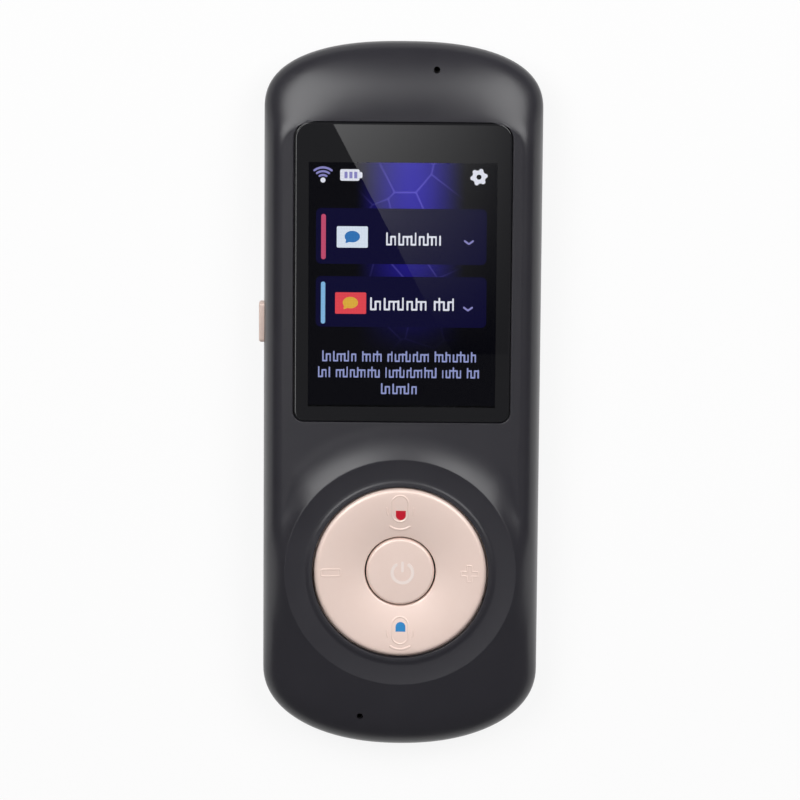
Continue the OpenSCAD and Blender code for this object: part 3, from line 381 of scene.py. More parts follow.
# Foam tape: matt white with small open cells. Silicone lead: glossy red. Nylon plug: waxy cream.
foam_tape = moulded("white_foam_tape", "#e2e2da", "#c9c9c0", rough=0.85, grain_mm=0.3, relief_mm=0.05)
finish(foam_tape, "battery_tape")
red_silicone = moulded("red_silicone_lead", "#9c1f1f", "#861616", rough=0.38, grain_mm=0.5, relief_mm=0.01)
finish(red_silicone, "battery_lead")
cream_nylon = moulded("cream_moulded_nylon", "#dad5c3", "#ccc6b2", rough=0.5, grain_mm=0.15, relief_mm=0.008,
                      Subsurface_Weight=0.1)
finish(cream_nylon, "battery_connector", "flex_connector")

# ---- Speaker ----
# A round dynamic speaker in a moulded frame, sealed to the grille by a rubber ring. A disc of woven
# acoustic cloth behind the holes keeps dust out.

# Moulded frame: black with a low gloss. Moulded rubber: black and dull, like all seals in the case.
speaker_frame = moulded("black_moulded_frame", "#1f1f21", "#2a2a2c", rough=0.48, grain_mm=0.25,
                        relief_mm=0.01)
finish(speaker_frame, "speaker")
black_rubber = moulded("black_moulded_rubber", "#161617", "#1f1f20", rough=0.72, grain_mm=0.2,
                       relief_mm=0.012)
finish(black_rubber, "speaker_gasket", "mic_boot_top", "mic_boot_bottom")

# At a scale of 1 the bands of a wave texture lie 0.314 apart, so a scale is this over the real spacing.
wave_band = 0.314

# Woven polyester: threads 0.28 mm apart cross at right angles, with painted shade in the gaps and a painted
# highlight that turns the crowns grey.
acoustic_cloth, tree, shader, place = new_material("woven_acoustic_cloth")
thread_scale = wave_band / (0.28 * mm)
warp = add_node(tree, "TexWave", {"bands_direction": "X"}, Vector=place, Scale=thread_scale)
weft = add_node(tree, "TexWave", {"bands_direction": "Y"}, Vector=place, Scale=thread_scale)
over = add_node(tree, "Math", {"operation": "MULTIPLY"}, _0=warp.outputs[1], _1=weft.outputs[1])
# Painted shade and highlight: darker where the threads dip, lighter where they cross on top.
tone = add_node(tree, "Mix", in_colour, _0=over.outputs[0], _6=linear("#0b0b0c"), _7=linear("#242426"))
thread = add_node(tree, "Bump", Height=over.outputs[0], Distance=0.06 * mm, Strength=1.0)
tree.links.new(tone.outputs[2], shader.inputs["Base Color"])
tree.links.new(thread.outputs[0], shader.inputs["Normal"])
shader.inputs["Roughness"].default_value = 0.8
finish(acoustic_cloth, "speaker_mesh")

# ---- Board, port and microphones ----
# A green glass-fibre board on four screw pillars carries the shield can, chip, charging port, snap
# domes and side switch. Two small microphones stand in rubber boots behind the case's holes.

# Solder mask: glossy green varnish over copper, whose tracks show as lighter lines. They lie 1.3 mm apart,
# are 0.4 mm wide and swerve by up to 4 mm.
solder_mask, tree, shader, place = new_material("green_solder_mask")
bend = add_node(tree, "TexNoise", Vector=place, Scale=1 / (9 * mm), Detail=0.0)
route = add_node(tree, "VectorMath", {"operation": "MULTIPLY_ADD"}, _0=bend.outputs[1],
                 _1=(4 * mm, 4 * mm, 0), _2=place)
track = add_node(tree, "TexBrick", {"offset": 0.37}, Vector=route.outputs[0], Color1=linear("#0d3a26"),
                 Color2=linear("#0f4029"), Mortar=linear("#1d6a44"), Scale=1 / (4 * mm), Mortar_Size=0.05,
                 Brick_Width=1.7, Row_Height=0.32)
ridge = add_node(tree, "Bump", Height=track.outputs[1], Distance=0.03 * mm, Strength=1.0)
tree.links.new(track.outputs[0], shader.inputs["Base Color"])
tree.links.new(ridge.outputs[0], shader.inputs["Normal"])
shader.inputs["Roughness"].default_value = 0.3
finish(solder_mask, "main_board")

# Tinned steel: bright metal with a soft, slightly mottled gloss. Screws of black zinc-plated steel: dark
# grey metal.
tinned_steel = moulded("tinned_rolled_steel", "#b9babd", "#a5a6aa", rough=0.32, grain_mm=0.5, relief_mm=0.003,
                       metal=1.0)
finish(tinned_steel, "shield_can", "usb_shell")
zinc_black = moulded("black_zinc_steel", "#3c3c40", "#2e2e31", rough=0.36, grain_mm=0.2, relief_mm=0.004,
                     metal=1.0)
finish(zinc_black, "board_screws", "key_frame_screws")

# Felt: black without gloss. Moulded resin: black with a low gloss. Polyimide film: glossy amber.
black_felt = moulded("black_microphone_felt", "#0c0c0d", "#151516", rough=0.92, grain_mm=0.12, relief_mm=0.03)
finish(black_felt, "microphone_top", "microphone_bottom")
black_resin = moulded("black_moulded_resin", "#121213", "#1b1b1c", rough=0.5, grain_mm=0.12, relief_mm=0.006)
finish(black_resin, "main_chip", "usb_tongue", "side_switch_body")
amber_film = moulded("amber_polyimide_film", "#b5701f", "#a3611a", rough=0.28, grain_mm=1.2, relief_mm=0.006)
finish(amber_film, "wifi_antenna", "display_flex")

# ---- Key mechanism and display stack ----
# A glass-filled nylon frame guides the middle key and carries the gimbal, an acetal ring on two pairs
# of pins. The display is a bonded glass cell over a white backlight tray, on strips of foam.

# Glass-filled nylon: mid grey, dull, with the fleck of its fibres. Acetal: milky white and slightly waxy.
grey_nylon = moulded("glass_filled_nylon", "#58585c", "#6a6a6e", rough=0.55, grain_mm=0.18, relief_mm=0.012)
finish(grey_nylon, "key_frame")
acetal = moulded("natural_acetal", "#dcdcd4", "#cfcfc6", rough=0.36, grain_mm=0.3, relief_mm=0.004,
                 Subsurface_Weight=0.1)
finish(acetal, "gimbal_ring", "button_retainer", "side_switch_plunger")

# Tray: plain white plastic. Tape: thin black film. Foam: dull grey with open pores. Cell: dark, smooth
# glass.
white_tray = moulded("white_moulded_tray", "#dadadd", "#cdcdd1", rough=0.5, grain_mm=0.25, relief_mm=0.006)
finish(white_tray, "backlight_tray")
bonding_tape = moulded("black_bonding_tape", "#131314", "#1c1c1d", rough=0.6, grain_mm=0.4, relief_mm=0.01)
finish(bonding_tape, "glass_gasket")
grey_foam = moulded("closed_cell_foam", "#3a3a3b", "#2b2b2c", rough=0.9, grain_mm=0.25, relief_mm=0.06)
finish(grey_foam, "lcd_foam")
display_glass = moulded("polarised_display_glass", "#08080d", "#0b0b12", rough=0.16, grain_mm=2.0,
                        relief_mm=0.001)
finish(display_glass, "lcd_cell")

# ---- Front of the case ----
# The upper half, moulded in the same ABS. It rolls off at its sides, slopes at its brow and chin, and
# rises round the keys to a crisp collar with a shallow dish inside. The glass drops into its window.
glass_low, glass_high = np.array(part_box("screen_glass")) / mm
glass_mid = (glass_low + glass_high) / 2
face_z = glass_high[2]
# Inside the shoulder the face is flat, and outside it the front rolls down to the outline.
shoulder = (half_width - 4, (end_tip - 14.7, 8, 4), (end_tip - 13.7, 23, 2.1))
glass_play, window_break = 0.15, 0.25
top_corner_r, low_corner_r = 3.2, 2.0
ledge_top = glass_low[2] - 0.1
ledge_low = ledge_top - 0.8
# The collar round the keys: its crest, the dish inside it, and a low lip round the well that holds the
# keys.
pad = np.array([0, -33.95])
crest_r, crest_z = 23.0, face_z + 1.5
dish_r, dish_z = 18.8, face_z + 1.28
well_r, lip_z = 17.45, face_z + 1.5
ramp_width, chin_ramp, ramp_power = 7, 14, 1.9
side_pinch, pinch_start, pinch_full = 3.5, 0.7, 0.9
tiny = 1e-9


def level(plan, xy):
    """1 on an outline, less inside it and more outside: (|x / half|^n + into^n)^(1/n), where into is how
    far y reaches into the end curve, as a share of the curve's depth."""
    half, top, low = plan
    upper = xy[..., 1] > 0
    tip, depth, power = [np.where(upper, a, b) for a, b in zip(top, low)]
    into = np.maximum(0, (np.abs(xy[..., 1]) - tip + depth) / depth)
    return ((np.abs(xy[..., 0]) / half) ** power + into ** power) ** (1 / power)


def roll_share(plan, inner, xy):
    """0 up to the shoulder and 1 on the outline: past / (past + left), where past is how much the
    shoulder's level is over 1, and left is how much the outline's level is under 1."""
    past, left = np.maximum(0, level(inner, xy) - 1), np.maximum(0, 1 - level(plan, xy))
    return np.where(left < 1e-6, 1, past / np.maximum(past + left, tiny))


def front_height(plan, inner, top, rise, xy):
    """Height of the front. The flat face and a hollow ramp u^1.9 up to the collar, longer below it and
    pinched beside it, are scaled by a superelliptic roll (1 - t^p)^(1/p) from the shoulder to the parting
    line."""
    away = xy - pad
    r = np.linalg.norm(away, axis=-1)
    down = np.maximum(0, -away[..., 1] / r)
    beside = np.clip((np.abs(away[..., 0]) / r - pinch_start) / (pinch_full - pinch_start), 0, 1)
    reach = ramp_width + (chin_ramp - ramp_width) * down ** 2 - side_pinch * beside ** 2 * (3 - 2 * beside)
    crown = top + rise * np.clip((crest_r + reach - r) / reach, 0, 1) ** ramp_power
    share = roll_share(plan, inner, xy)
    return split_z + (crown - split_z) * (1 - share ** roll_power) ** (1 / roll_power)


def window_loop(grow, side=44, across=36, corner=14):
    """The window's rounded rectangle grown by a margin, anticlockwise from the low end of its right
    side."""
    x, low, high = glass_high[0] + grow, glass_low[1] - grow, glass_high[1] + grow
    r_top, r_low = top_corner_r + grow, low_corner_r + grow

    def run(start, end, count):
        """Points at equal steps along a straight line, without its end."""
        return np.array(start) + (np.array(end) - start) * np.linspace(0, 1, count, endpoint=False)[:, None]

    def bend(x, y, r, start):
        """Points round a quarter circle about (x, y), without its end."""
        turn = start + np.linspace(0, math.pi / 2, corner, endpoint=False)
        return np.column_stack([x + r * np.cos(turn), y + r * np.sin(turn)])

    return np.concatenate([
        run((x, low + r_low), (x, high - r_top), side), bend(x - r_top, high - r_top, r_top, 0),
        run((x - r_top, high), (r_top - x, high), across), bend(r_top - x, high - r_top, r_top, math.pi / 2),
        run((-x, high - r_top), (-x, low + r_low), side), bend(r_low - x, low + r_low, r_low, math.pi),
        run((r_low - x, low), (x - r_low, low), across), bend(x - r_low, low + r_low, r_low, 1.5 * math.pi),
    ])


def ray_out(start, through, inside, far=120.0, halvings=46):
    """Where rays from start through points leave a region, found by halving the stretch that holds the
    place at which inside turns false."""
    way = (through - start) / np.linalg.norm(through - start, axis=-1, keepdims=True)
    near, beyond = np.zeros(len(way)), np.full(len(way), far)
    for _ in range(halvings):
        middle = (near + beyond) / 2
        held = inside(start + way * middle[:, None])
        near, beyond = np.where(held, middle, near), np.where(held, beyond, middle)
    return start + way * near[:, None]


def spread(path, rows, bend=1.5):
    """Re-spaces curves, path[sample, column, xyz], into rows at equal steps of a measure that adds up each
    curve's length and bend mm for every radian that it turns."""
    step = np.diff(path, axis=0)
    length = np.linalg.norm(step, axis=2)
    heading = step / np.maximum(length, tiny)[..., None]
    turn = np.zeros_like(length)
    turn[1:] = np.arccos(np.clip((heading[1:] * heading[:-1]).sum(2), -1, 1))
    measure = np.concatenate([np.zeros((1, path.shape[1])), np.cumsum(length + bend * turn, axis=0)])
    want = np.linspace(0, 1, rows + 1)
    return np.stack([
        np.stack([np.interp(want * measure[-1, k], measure[:, k], path[:, k, i]) for i in range(3)], axis=-1)
        for k in range(path.shape[1])
    ], axis=1)


def soften(rings, reach, steps=4):
    """Rounds a path of rings. Each inner ring gives way to a parabola (1-t)^2 a + 2t(1-t) ring + t^2 b,
    whose ends a and b lie reach mm away from it, or half way to the next ring where that is nearer."""
    out = [rings[0]]
    for before, here, after in zip(rings[:-2], rings[1:-1], rings[2:]):
        ends = []
        for other in (before, after):
            gap = np.linalg.norm(other - here, axis=-1, keepdims=True)
            ends.append(here + (other - here) * np.minimum(0.5, reach / np.maximum(gap, tiny)))
        for t in np.linspace(0, 1, steps + 1):
            out.append((1 - t) ** 2 * ends[0] + 2 * t * (1 - t) * here + t ** 2 * ends[1])
    out.append(rings[-1])
    return out


def front_sheet(inner, outer, height, rows):
    """A sheet over straight lines in plan from one loop to another, at a share of the way that goes with 1
    - (1 - t)^2.5, so that the samples crowd toward the outer loop. Its rows are then spread along the
    skin."""
    share = 1 - (1 - np.linspace(0, 1, 320)[:, None, None]) ** 2.5
    plan_path = inner[None] + (outer - inner)[None] * share
    return spread(np.concatenate([plan_path, height(plan_path)[..., None]], axis=-1), rows)


def outer_height(xy):
    """The front's outer skin, with its ramp up to the crest of the collar."""
    return front_height(outline, shoulder, face_z, crest_z - face_z, xy)


# The loop where the roll begins to show splits the front into a field and a roll. In the field, one
# sheet surrounds the window and one the collar, and they meet along a seam across the case.
field_share = 0.15
seam_y = -7.3
window_edge = window_loop(glass_play + window_break)


def in_outline(xy):
    """Whether points lie inside the case's outline."""
    return level(outline, xy) < 1


def in_field(xy):
    """Whether points lie where the roll has hardly begun."""
    return (roll_share(outline, shoulder, xy) < field_share) & in_outline(xy)


def in_screen_field(xy):
    """The field's part on the window's side of the seam."""
    return in_field(xy) & (xy[..., 1] > seam_y)


def in_pad_field(xy):
    """The field's part on the keys' side of the seam."""
    return in_field(xy) & (xy[..., 1] < seam_y)


def same(points, point):
    """Which of the points fall on one point."""
    return (np.abs(points - point) < 1e-6).all(axis=1)


# The seam's two ends take the place of the nearest points of the screen's field. The rest of the seam is
# the points where its rays end there, and the field of the keys starts from the same points.
corner_x = ray_out(np.array([0.0, seam_y]), np.array([[1.0, seam_y]]), in_field)[0, 0]
right_end, left_end = np.array([(corner_x, seam_y), (-corner_x, seam_y)])
screen_edge = ray_out(glass_mid[:2], window_edge, in_screen_field)
for end in (right_end, left_end):
    screen_edge[np.argmin(np.linalg.norm(screen_edge - end, axis=1))] = end
seam = screen_edge[np.abs(screen_edge[:, 1] - seam_y) < 1e-6]
seam = seam[np.argsort(seam[:, 0])]
left_turn = math.atan2(seam_y - pad[1], -corner_x)
turn = np.linspace(left_turn, TAU + math.pi - left_turn, 201)[1:-1]
pad_side = ray_out(pad, pad + np.column_stack([np.cos(turn), np.sin(turn)]), in_pad_field)
pad_edge = np.concatenate([seam[::-1], pad_side])
pad_rays = (pad_edge - pad) / np.linalg.norm(pad_edge - pad, axis=1, keepdims=True)
crest_edge = pad + (crest_r + 0.2) * pad_rays

# The roll starts from both fields' outer edges and runs away from a line along the middle of the case.
around_screen = np.roll(screen_edge, -np.argmax(same(screen_edge, right_end)), axis=0)
roll_start = np.concatenate([around_screen[:np.argmax(same(around_screen, left_end)) + 1], pad_side])
spine_low, spine_high = -36, 40
spine = np.column_stack([np.zeros(len(roll_start)), np.clip(roll_start[:, 1], spine_low, spine_high)])
roll_end = ray_out(spine, roll_start, in_outline)


def inset_points(xy, depth):
    """Points moved in by depth as the outline itself is: x shrinks with the half width, and y with the
    depth of the end curve that it reaches into."""
    half, top, low = outline
    upper = xy[:, 1] > 0
    tip, curve, _ = [np.where(upper, a, b) for a, b in zip(top, low)]
    into = np.maximum(0, np.abs(xy[:, 1]) - (tip - curve))
    y = np.sign(xy[:, 1]) * (np.abs(xy[:, 1]) - into + into * (curve - depth) / curve)
    return np.column_stack([xy[:, 0] * (half - depth) / half, y])


def inner_height(xy):
    """The front's inner skin, one wall below the outer one and without the ramp."""
    return front_height(inner_plan, drawn_in(shoulder, wall, wall, 0), face_z - wall, 0, xy)


def lifted(sheet, low):
    """A sheet that runs down to the parting line, pressed together upwards until it ends at height low:
    each point goes up by its share of the sheet's fall."""
    share = (sheet[0, :, 2] - sheet[..., 2]) / (sheet[0, :, 2] - sheet[-1, :, 2])
    return sheet + np.stack([0 * share, 0 * share, share * (low - sheet[-1, :, 2])], axis=-1)


def ring_at(r, z):
    """The points at radius r on the rays of the collar, at height z."""
    return at(closed(pad + r * pad_rays), z)


# The outer skin.
screen_field = front_sheet(closed(window_edge), closed(screen_edge), outer_height, rows=12)
pad_field = front_sheet(closed(crest_edge), closed(pad_edge), outer_height, rows=14)
roll = lifted(front_sheet(closed(roll_start), closed(roll_end), outer_height, rows=30), split_z + edge_break)

# The inner skin, and the rim between the two with its rebate for the back's tongue.
ledge_margin, flange_r = 1.2, 18.8
rebate_z = split_z + tongue_high + tongue_play
ledge, flange = closed(window_loop(ledge_margin)), closed(pad + flange_r * pad_rays)
inner_screen_edge, inner_pad_edge, inner_roll_start, inner_roll_end = [
    closed(inset_points(loop, wall)) for loop in (screen_edge, pad_edge, roll_start, roll_end)]
inner_screen = front_sheet(ledge, inner_screen_edge, inner_height, rows=4)
inner_pad = front_sheet(flange, inner_pad_edge, inner_height, rows=4)
inner_roll = lifted(front_sheet(inner_roll_start, inner_roll_end, inner_height, rows=10), rebate_z)
rim = np.stack([roll[-1]] + [
    at(closed(inset_points(roll_end, depth)), z) for depth, z in (
        (edge_break, split_z + joint_gap), (wall / 2, split_z + joint_gap),
        (wall / 2, rebate_z), (wall, rebate_z))
])

# The window: its wall, and the ledge that carries the glass round an opening for the display.
view_low, view_high = (-19.25, glass_low[1] + 2), (19.25, glass_high[1] - 6.8)
view = closed(np.clip(window_loop(0.0), view_low, view_high))
window_side = closed(window_loop(glass_play))
window_wall = soften([screen_field[0], at(window_side, face_z), at(window_side, ledge_top)], reach=0.2) + [
    at(view, ledge_top), at(view, ledge_low), at(ledge, ledge_low), at(ledge, inner_screen[0, :, 2])]

# The collar from its ramp inwards: a crisp crest, the dish, the lip round the well, and the well's wall.
dish_rim = crest_r - 0.4
dish_start = ring_at(dish_rim, dish_z + (crest_z - dish_z) * (dish_rim - dish_r) / (crest_r - dish_r))
lip_start, lip_end = ring_at((dish_r + well_r) / 2 + 0.1, lip_z), ring_at(well_r + 0.3, lip_z)
crest_rings = soften([pad_field[0], ring_at(crest_r - 0.05, crest_z + 0.02), dish_start], reach=0.22)
dish_rings = soften([dish_start, ring_at(dish_r, dish_z), lip_start, lip_end], reach=0.42)
lip_rings = soften([lip_end, ring_at(well_r, lip_z), ring_at(well_r, lip_z - 1.4)], reach=0.1)
well_low = face_z - 0.2
well_wall = crest_rings[:-1] + dish_rings[:-1] + lip_rings + [
    ring_at(well_r, well_low), ring_at(flange_r, well_low), ring_at(flange_r, inner_pad[0, :, 2])]
front_housing = skin("front_housing", [
    screen_field, pad_field, roll, rim, inner_roll, inner_screen, inner_pad, np.stack(window_wall),
    np.stack(well_wall)], case_plastic)

mic_holes = [(6.4, 66.2), (-7.8, -64.0)]
mic_hole_r = 0.65


def mic_hole(centre):
    """A round hole from below the shell up through its sloping skin."""
    low, high = split_z - 1, float(outer_height(np.array(centre, dtype=float))) + 3
    return peg(centre, mic_hole_r, low, high, steps=32)


carve(front_housing, "DIFFERENCE", [mic_hole(centre) for centre in mic_holes] + [usb_slot, side_slot])
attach(front_housing, "case")
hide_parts("front_shell")

# ---- Cover glass ----
# Toughened glass, 1 mm thick with ground edges, bonded flush into the window. It is printed black on
# its back round a clear window over the lit part of the display.
print_low, print_high = np.array([-18.45, -0.65]), np.array([18.4, 48.2])
ground_edge, border = 0.25, 0.4


def rounded(low, high, radius, steps=6):
    """A closed rectangle whose corners are quarter circles, anticlockwise from its top right corner."""
    a = np.linspace(0, math.pi / 2, steps + 1)
    quarter_arc = radius * np.column_stack([np.cos(a), np.sin(a)])
    inner_low, inner_high = np.array(low) + radius, np.array(high) - radius
    corners = [(inner_high, (1, 1), 1), ((inner_low[0], inner_high[1]), (-1, 1), -1),
               (inner_low, (-1, -1), 1), ((inner_high[0], inner_low[1]), (1, -1), -1)]
    return closed(np.concatenate([np.array(c) + quarter_arc[::step] * sign for c, sign, step in corners]))


# Rings from the middle of the pane's back out to its ground edge, up, and in again to the middle of its
# face. The edge is a quarter circle at both faces. One loop, pressed onto a rectangle, follows the clear
# window.
turn = np.linspace(0, math.pi / 2, 6)
edge_loops = [closed(window_loop(-inset)) for inset in ground_edge * (1 - np.sin(turn))]
edge_drops = ground_edge * (1 - np.cos(turn))
clear_loop = closed(np.clip(window_loop(-2.0), print_low, print_high))
glass_hub = clear_loop * 0 + (print_low + print_high) / 2
glass_rings = (
    [at(glass_hub, glass_low[2]), at(clear_loop, glass_low[2])]
    + [at(loop, glass_low[2] + drop) for loop, drop in zip(edge_loops, edge_drops)]
    + [at(loop, glass_high[2] - drop) for loop, drop in zip(edge_loops[::-1], edge_drops[::-1])]
    + [at(loop, glass_high[2]) for loop in (closed(window_loop(-border)), clear_loop, glass_hub)]
)

# Float glass over black ink: a mirror-smooth surface, nearly black, whose print has a faint fleck.
printed_glass = moulded("black_printed_glass", "#1b1b1d", "#1f1f21", rough=0.006, grain_mm=0.3,
                        relief_mm=0.00002)
glass_pane = skin("glass_pane", [np.stack(glass_rings)], printed_glass, crease=40)

# The clear window: polished glass over the display, with a coating whose tint hardly changes over 18 mm.
clear_glass, tree, shader, place = new_material("clear_polished_glass")
patch = add_node(tree, "TexNoise", Vector=place, Scale=1 / (18 * mm), Detail=1.0)
tint = add_node(tree, "Mix", in_colour, _0=patch.outputs[0], _6=linear("#ffffff"), _7=linear("#f6f8fb"))
tree.links.new(tint.outputs[2], shader.inputs["Base Color"])
shader.inputs["Roughness"].default_value = 0.0
shader.inputs["IOR"].default_value = 1.5
shader.inputs["Transmission Weight"].default_value = 1.0
glass_pane.data.materials.append(clear_glass)
centres = np.zeros(3 * len(glass_pane.data.polygons))
glass_pane.data.polygons.foreach_get("center", centres)
centres = centres.reshape(-1, 3)[:, :2] / mm
is_clear = ((centres > print_low) & (centres < print_high)).all(axis=1)
glass_pane.data.polygons.foreach_set("material_index", is_clear.astype(np.int32))
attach(glass_pane, "case")
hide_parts("screen_glass")

# ---- Picture on the display ----
# What the lit display shows: a start page on a dark blue ground, with two rows to choose from, a line
# of symbols above and a few lines of writing below. The writing is upright strokes that spell nothing.
picture_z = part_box("lcd_cell")[1].z / mm
sheet_thick = 0.03
ground_z = picture_z + sheet_thick
panel_z = ground_z + sheet_thick
mark_z = panel_z + sheet_thick
top_z = mark_z + sheet_thick


def only_glows(tree, shader, colour):
    """Sends a colour to the emission of a surface that reflects nothing, since the glass lies over it."""
    tree.links.new(colour, shader.inputs["Emission Color"])
    shader.inputs["Emission Strength"].default_value = 1.0
    shader.inputs["Base Color"].default_value = (0, 0, 0, 1)
    shader.inputs["Specular IOR Level"].default_value = 0.0


def lit(name, colour, dimmer):
    """A lit part of the display. Its colour glows, and is dimmer between pixels 0.3 mm apart, which is
    twice their real spacing so that they show."""
    material, tree, shader, place = new_material(name)
    pixel_scale = wave_band / (0.3 * mm)
    dots = add_node(tree, "TexWave", {"bands_direction": "X"}, Vector=place, Scale=pixel_scale)
    lines = add_node(tree, "TexWave", {"bands_direction": "Y"}, Vector=place, Scale=pixel_scale)
    grid = add_node(tree, "Math", {"operation": "MULTIPLY"}, _0=dots.outputs[1], _1=lines.outputs[1])
    tone = add_node(tree, "Mix", in_colour, _0=grid.outputs[0], _6=linear(dimmer), _7=linear(colour))
    only_glows(tree, shader, tone.outputs[2])
    return material


def plate(loop, low=ground_z, high=panel_z):
    """A flat closed solid over a loop, between two heights. Its faces are fans from its middle."""
    middle = loop * 0 + loop[:-1].mean(axis=0)
    return np.stack([at(middle, low), at(loop, low), at(loop, high), at(middle, high)])


def ribbon(path, width, base, high, joined=False, arch=0.0, sunk=0.04):
    """A raised line along a path, on base, a function of plan points. Its section's height goes with 1 -
    arch * t^2 across it, and its ends are round: a width of sqrt(1 - (1 - s / half)^2) at s from an end."""
    path = np.array(path, dtype=float)
    run = np.concatenate([[0], np.cumsum(np.linalg.norm(np.diff(path, axis=0), axis=1))])
    half = width / 2
    count = max(4, int(run[-1] / (0.35 * width)))
    if joined:
        s = np.linspace(0, run[-1], count + 1)
    else:
        tip = half * np.array([0, 0.07, 0.3, 0.65])
        s = np.concatenate([tip, np.linspace(half, run[-1] - half, count), run[-1] - tip[::-1]])
    line = np.column_stack([np.interp(s, run, path[:, i]) for i in (0, 1)])
    slope = np.gradient(line, axis=0)
    if joined:
        slope[0] = slope[-1] = line[1] - line[-2]
    slope /= np.maximum(np.linalg.norm(slope, axis=1, keepdims=True), tiny)
    near = np.clip(np.minimum(s, run[-1] - s) / half, 0, 1)
    wide = half * (np.ones(len(s)) if joined else np.sqrt(1 - (1 - near) ** 2))
    side = np.column_stack([-slope[:, 1], slope[:, 0]]) * wide[:, None]
    across = np.array([-1, -1, -0.5, 0, 0.5, 1, 1, -1])
    up = high * (1 - arch * across ** 2)
    up[[0, -2, -1]] = -sunk
    return np.stack([at(line + side * t, base(line) + z) for t, z in zip(across, up)])


def arc(centre, radius, start, end, steps=24):
    """Points on a circular arc, by angles in degrees."""
    a = np.radians(np.linspace(start, end, steps + 1))
    return np.column_stack([centre[0] + radius * np.cos(a), centre[1] + radius * np.sin(a)])


def words(counts, left, right, y, high):
    """A line of words that spell nothing: each count is a word's number of strokes. The strokes are spaced
    evenly, their widths and heights repeat every 5 and every 7, and some are joined at the top or foot."""
    letters = np.concatenate([np.arange(n) + sum(counts[:i]) + i for i, n in enumerate(counts)])
    pitch = (right - left) / (letters[-1] + 1)
    strokes = []
    for k, spot in enumerate(letters):
        wide = pitch * (0.4, 0.46, 0.34, 0.42, 0.38)[k % 5]
        tall = high * (1.0, 0.74, 0.74, 0.96, 0.74, 0.74, 0.78)[k % 7]
        x, foot = left + pitch * (spot + 0.5), y - high / 2
        strokes.append(rounded((x - wide / 2, foot), (x + wide / 2, foot + tall), 0.4 * min(wide, tall), 2))
        if spot + 1 in letters and k % 5 != 2:
            bar = foot + high * (0.6 if k % 3 else 0.0)
            strokes.append(rounded((x, bar), (x + 0.96 * pitch, bar + 0.14 * high), 0.03 * high, 2))
    return strokes


def shown(name, grids, material):
    """A lit part of the picture, which rides on the case with the display."""
    piece = skin(name, grids, material)
    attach(piece, "case")


# Dark blue ground: a violet-blue glow falls from the top middle, 11 mm to either side and from 44 mm down
# to 8 mm, and breaks into faint facets about 7 mm wide.
ground, tree, shader, place = new_material("lit_display_ground")
axes = add_node(tree, "SeparateXYZ", Vector=place)
shift = add_node(tree, "Math", {"operation": "SUBTRACT"}, _0=axes.outputs[0], _1=1.5 * mm)
off = add_node(tree, "Math", {"operation": "ABSOLUTE"}, _0=shift.outputs[0])
aside = add_node(tree, "MapRange", {"interpolation_type": "SMOOTHSTEP"}, Value=off.outputs[0],
                 From_Max=11 * mm, To_Min=1.0, To_Max=0.0)
fall = add_node(tree, "MapRange", {"interpolation_type": "SMOOTHSTEP"}, Value=axes.outputs[1],
                From_Min=8 * mm, From_Max=44 * mm)
glow = add_node(tree, "Math", {"operation": "MULTIPLY"}, _0=aside.outputs[0], _1=fall.outputs[0])
facet = add_node(tree, "TexVoronoi", {"feature": "DISTANCE_TO_EDGE", "voronoi_dimensions": "2D"},
                 Vector=place, Scale=1 / (7 * mm))
edge = add_node(tree, "MapRange", Value=facet.outputs[0], From_Max=0.035, To_Min=0.45, To_Max=0.0)
spark = add_node(tree, "Math", {"operation": "MULTIPLY"}, _0=edge.outputs[0], _1=glow.outputs[0])
deep = add_node(tree, "Mix", in_colour, _0=glow.outputs[0], _6=linear("#020208"), _7=linear("#2a1fa4"))
tone = add_node(tree, "Mix", in_colour, _0=spark.outputs[0], _6=deep.outputs[2], _7=linear("#7f74f0"))
only_glows(tree, shader, tone.outputs[2])
shown("picture_ground", [plate(rounded(print_low, print_high, 0.3), picture_z, ground_z)], ground)

# Two rows to choose from, each a dark panel with a bar of colour at its left end and a chip beside it.
row_corner, bar_corner, chip_corner = 1.0, 0.4, 0.25
rows = [((-17.0, 27.7), (16.4, 38.8)), ((-17.0, 15.1), (16.5, 25.2))]
shown("row_panels", [plate(rounded(*row, row_corner)) for row in rows],
      lit("lit_dark_panel", "#0a0838", "#07052c"))
for name, low, high, corner, material in (
        ("row_bar_pink", (-16.0, 28.6), (-15.1, 37.6), bar_corner, lit("lit_pink", "#dc5a80", "#bc4a6a")),
        ("row_bar_blue", (-16.0, 15.7), (-15.15, 24.1), bar_corner,
         lit("lit_light_blue", "#96ccf6", "#7db2dc")),
        ("chip_one", (-12.95, 30.95), (-6.85, 35.2), chip_corner, lit("lit_pale_chip", "#f2f8ff", "#d6e2f0")),
        ("chip_two", (-13.2, 17.7), (-7.1, 22.0), chip_corner, lit("lit_red", "#f8505c", "#dc444e"))):
    shown(name, [plate(rounded(low, high, corner), panel_z, mark_z)], material)


def bubble(low, high):
    """A speech bubble: an ellipse whose radius grows to 1 + 0.45 exp(-((a - tail) / 0.16)^2) times its own
    at a tail on its low left side."""
    a = np.radians(np.linspace(0, 360, 49))
    tail = math.radians(232)
    middle, reach = (np.array(low) + high) / 2, (np.array(high) - low) / 2
    grown = 1 + 0.45 * np.exp(-((a - tail) / 0.16) ** 2)
    return middle + reach * np.column_stack([np.cos(a), np.sin(a)]) * grown[:, None]


shown("chip_bubbles", [plate(bubble((-11.4, 32.0), (-8.4, 34.3)), mark_z, top_z)],
      lit("lit_blue", "#3f86cc", "#3270b0"))
shown("chip_dots", [plate(bubble((-11.7, 18.8), (-8.7, 21.1)), mark_z, top_z)],
      lit("lit_yellow", "#f6c24c", "#d8a53c"))


def flat_base(z):
    """A base for ribbons that lie at height z."""
    return lambda xy: np.full(len(xy), z)


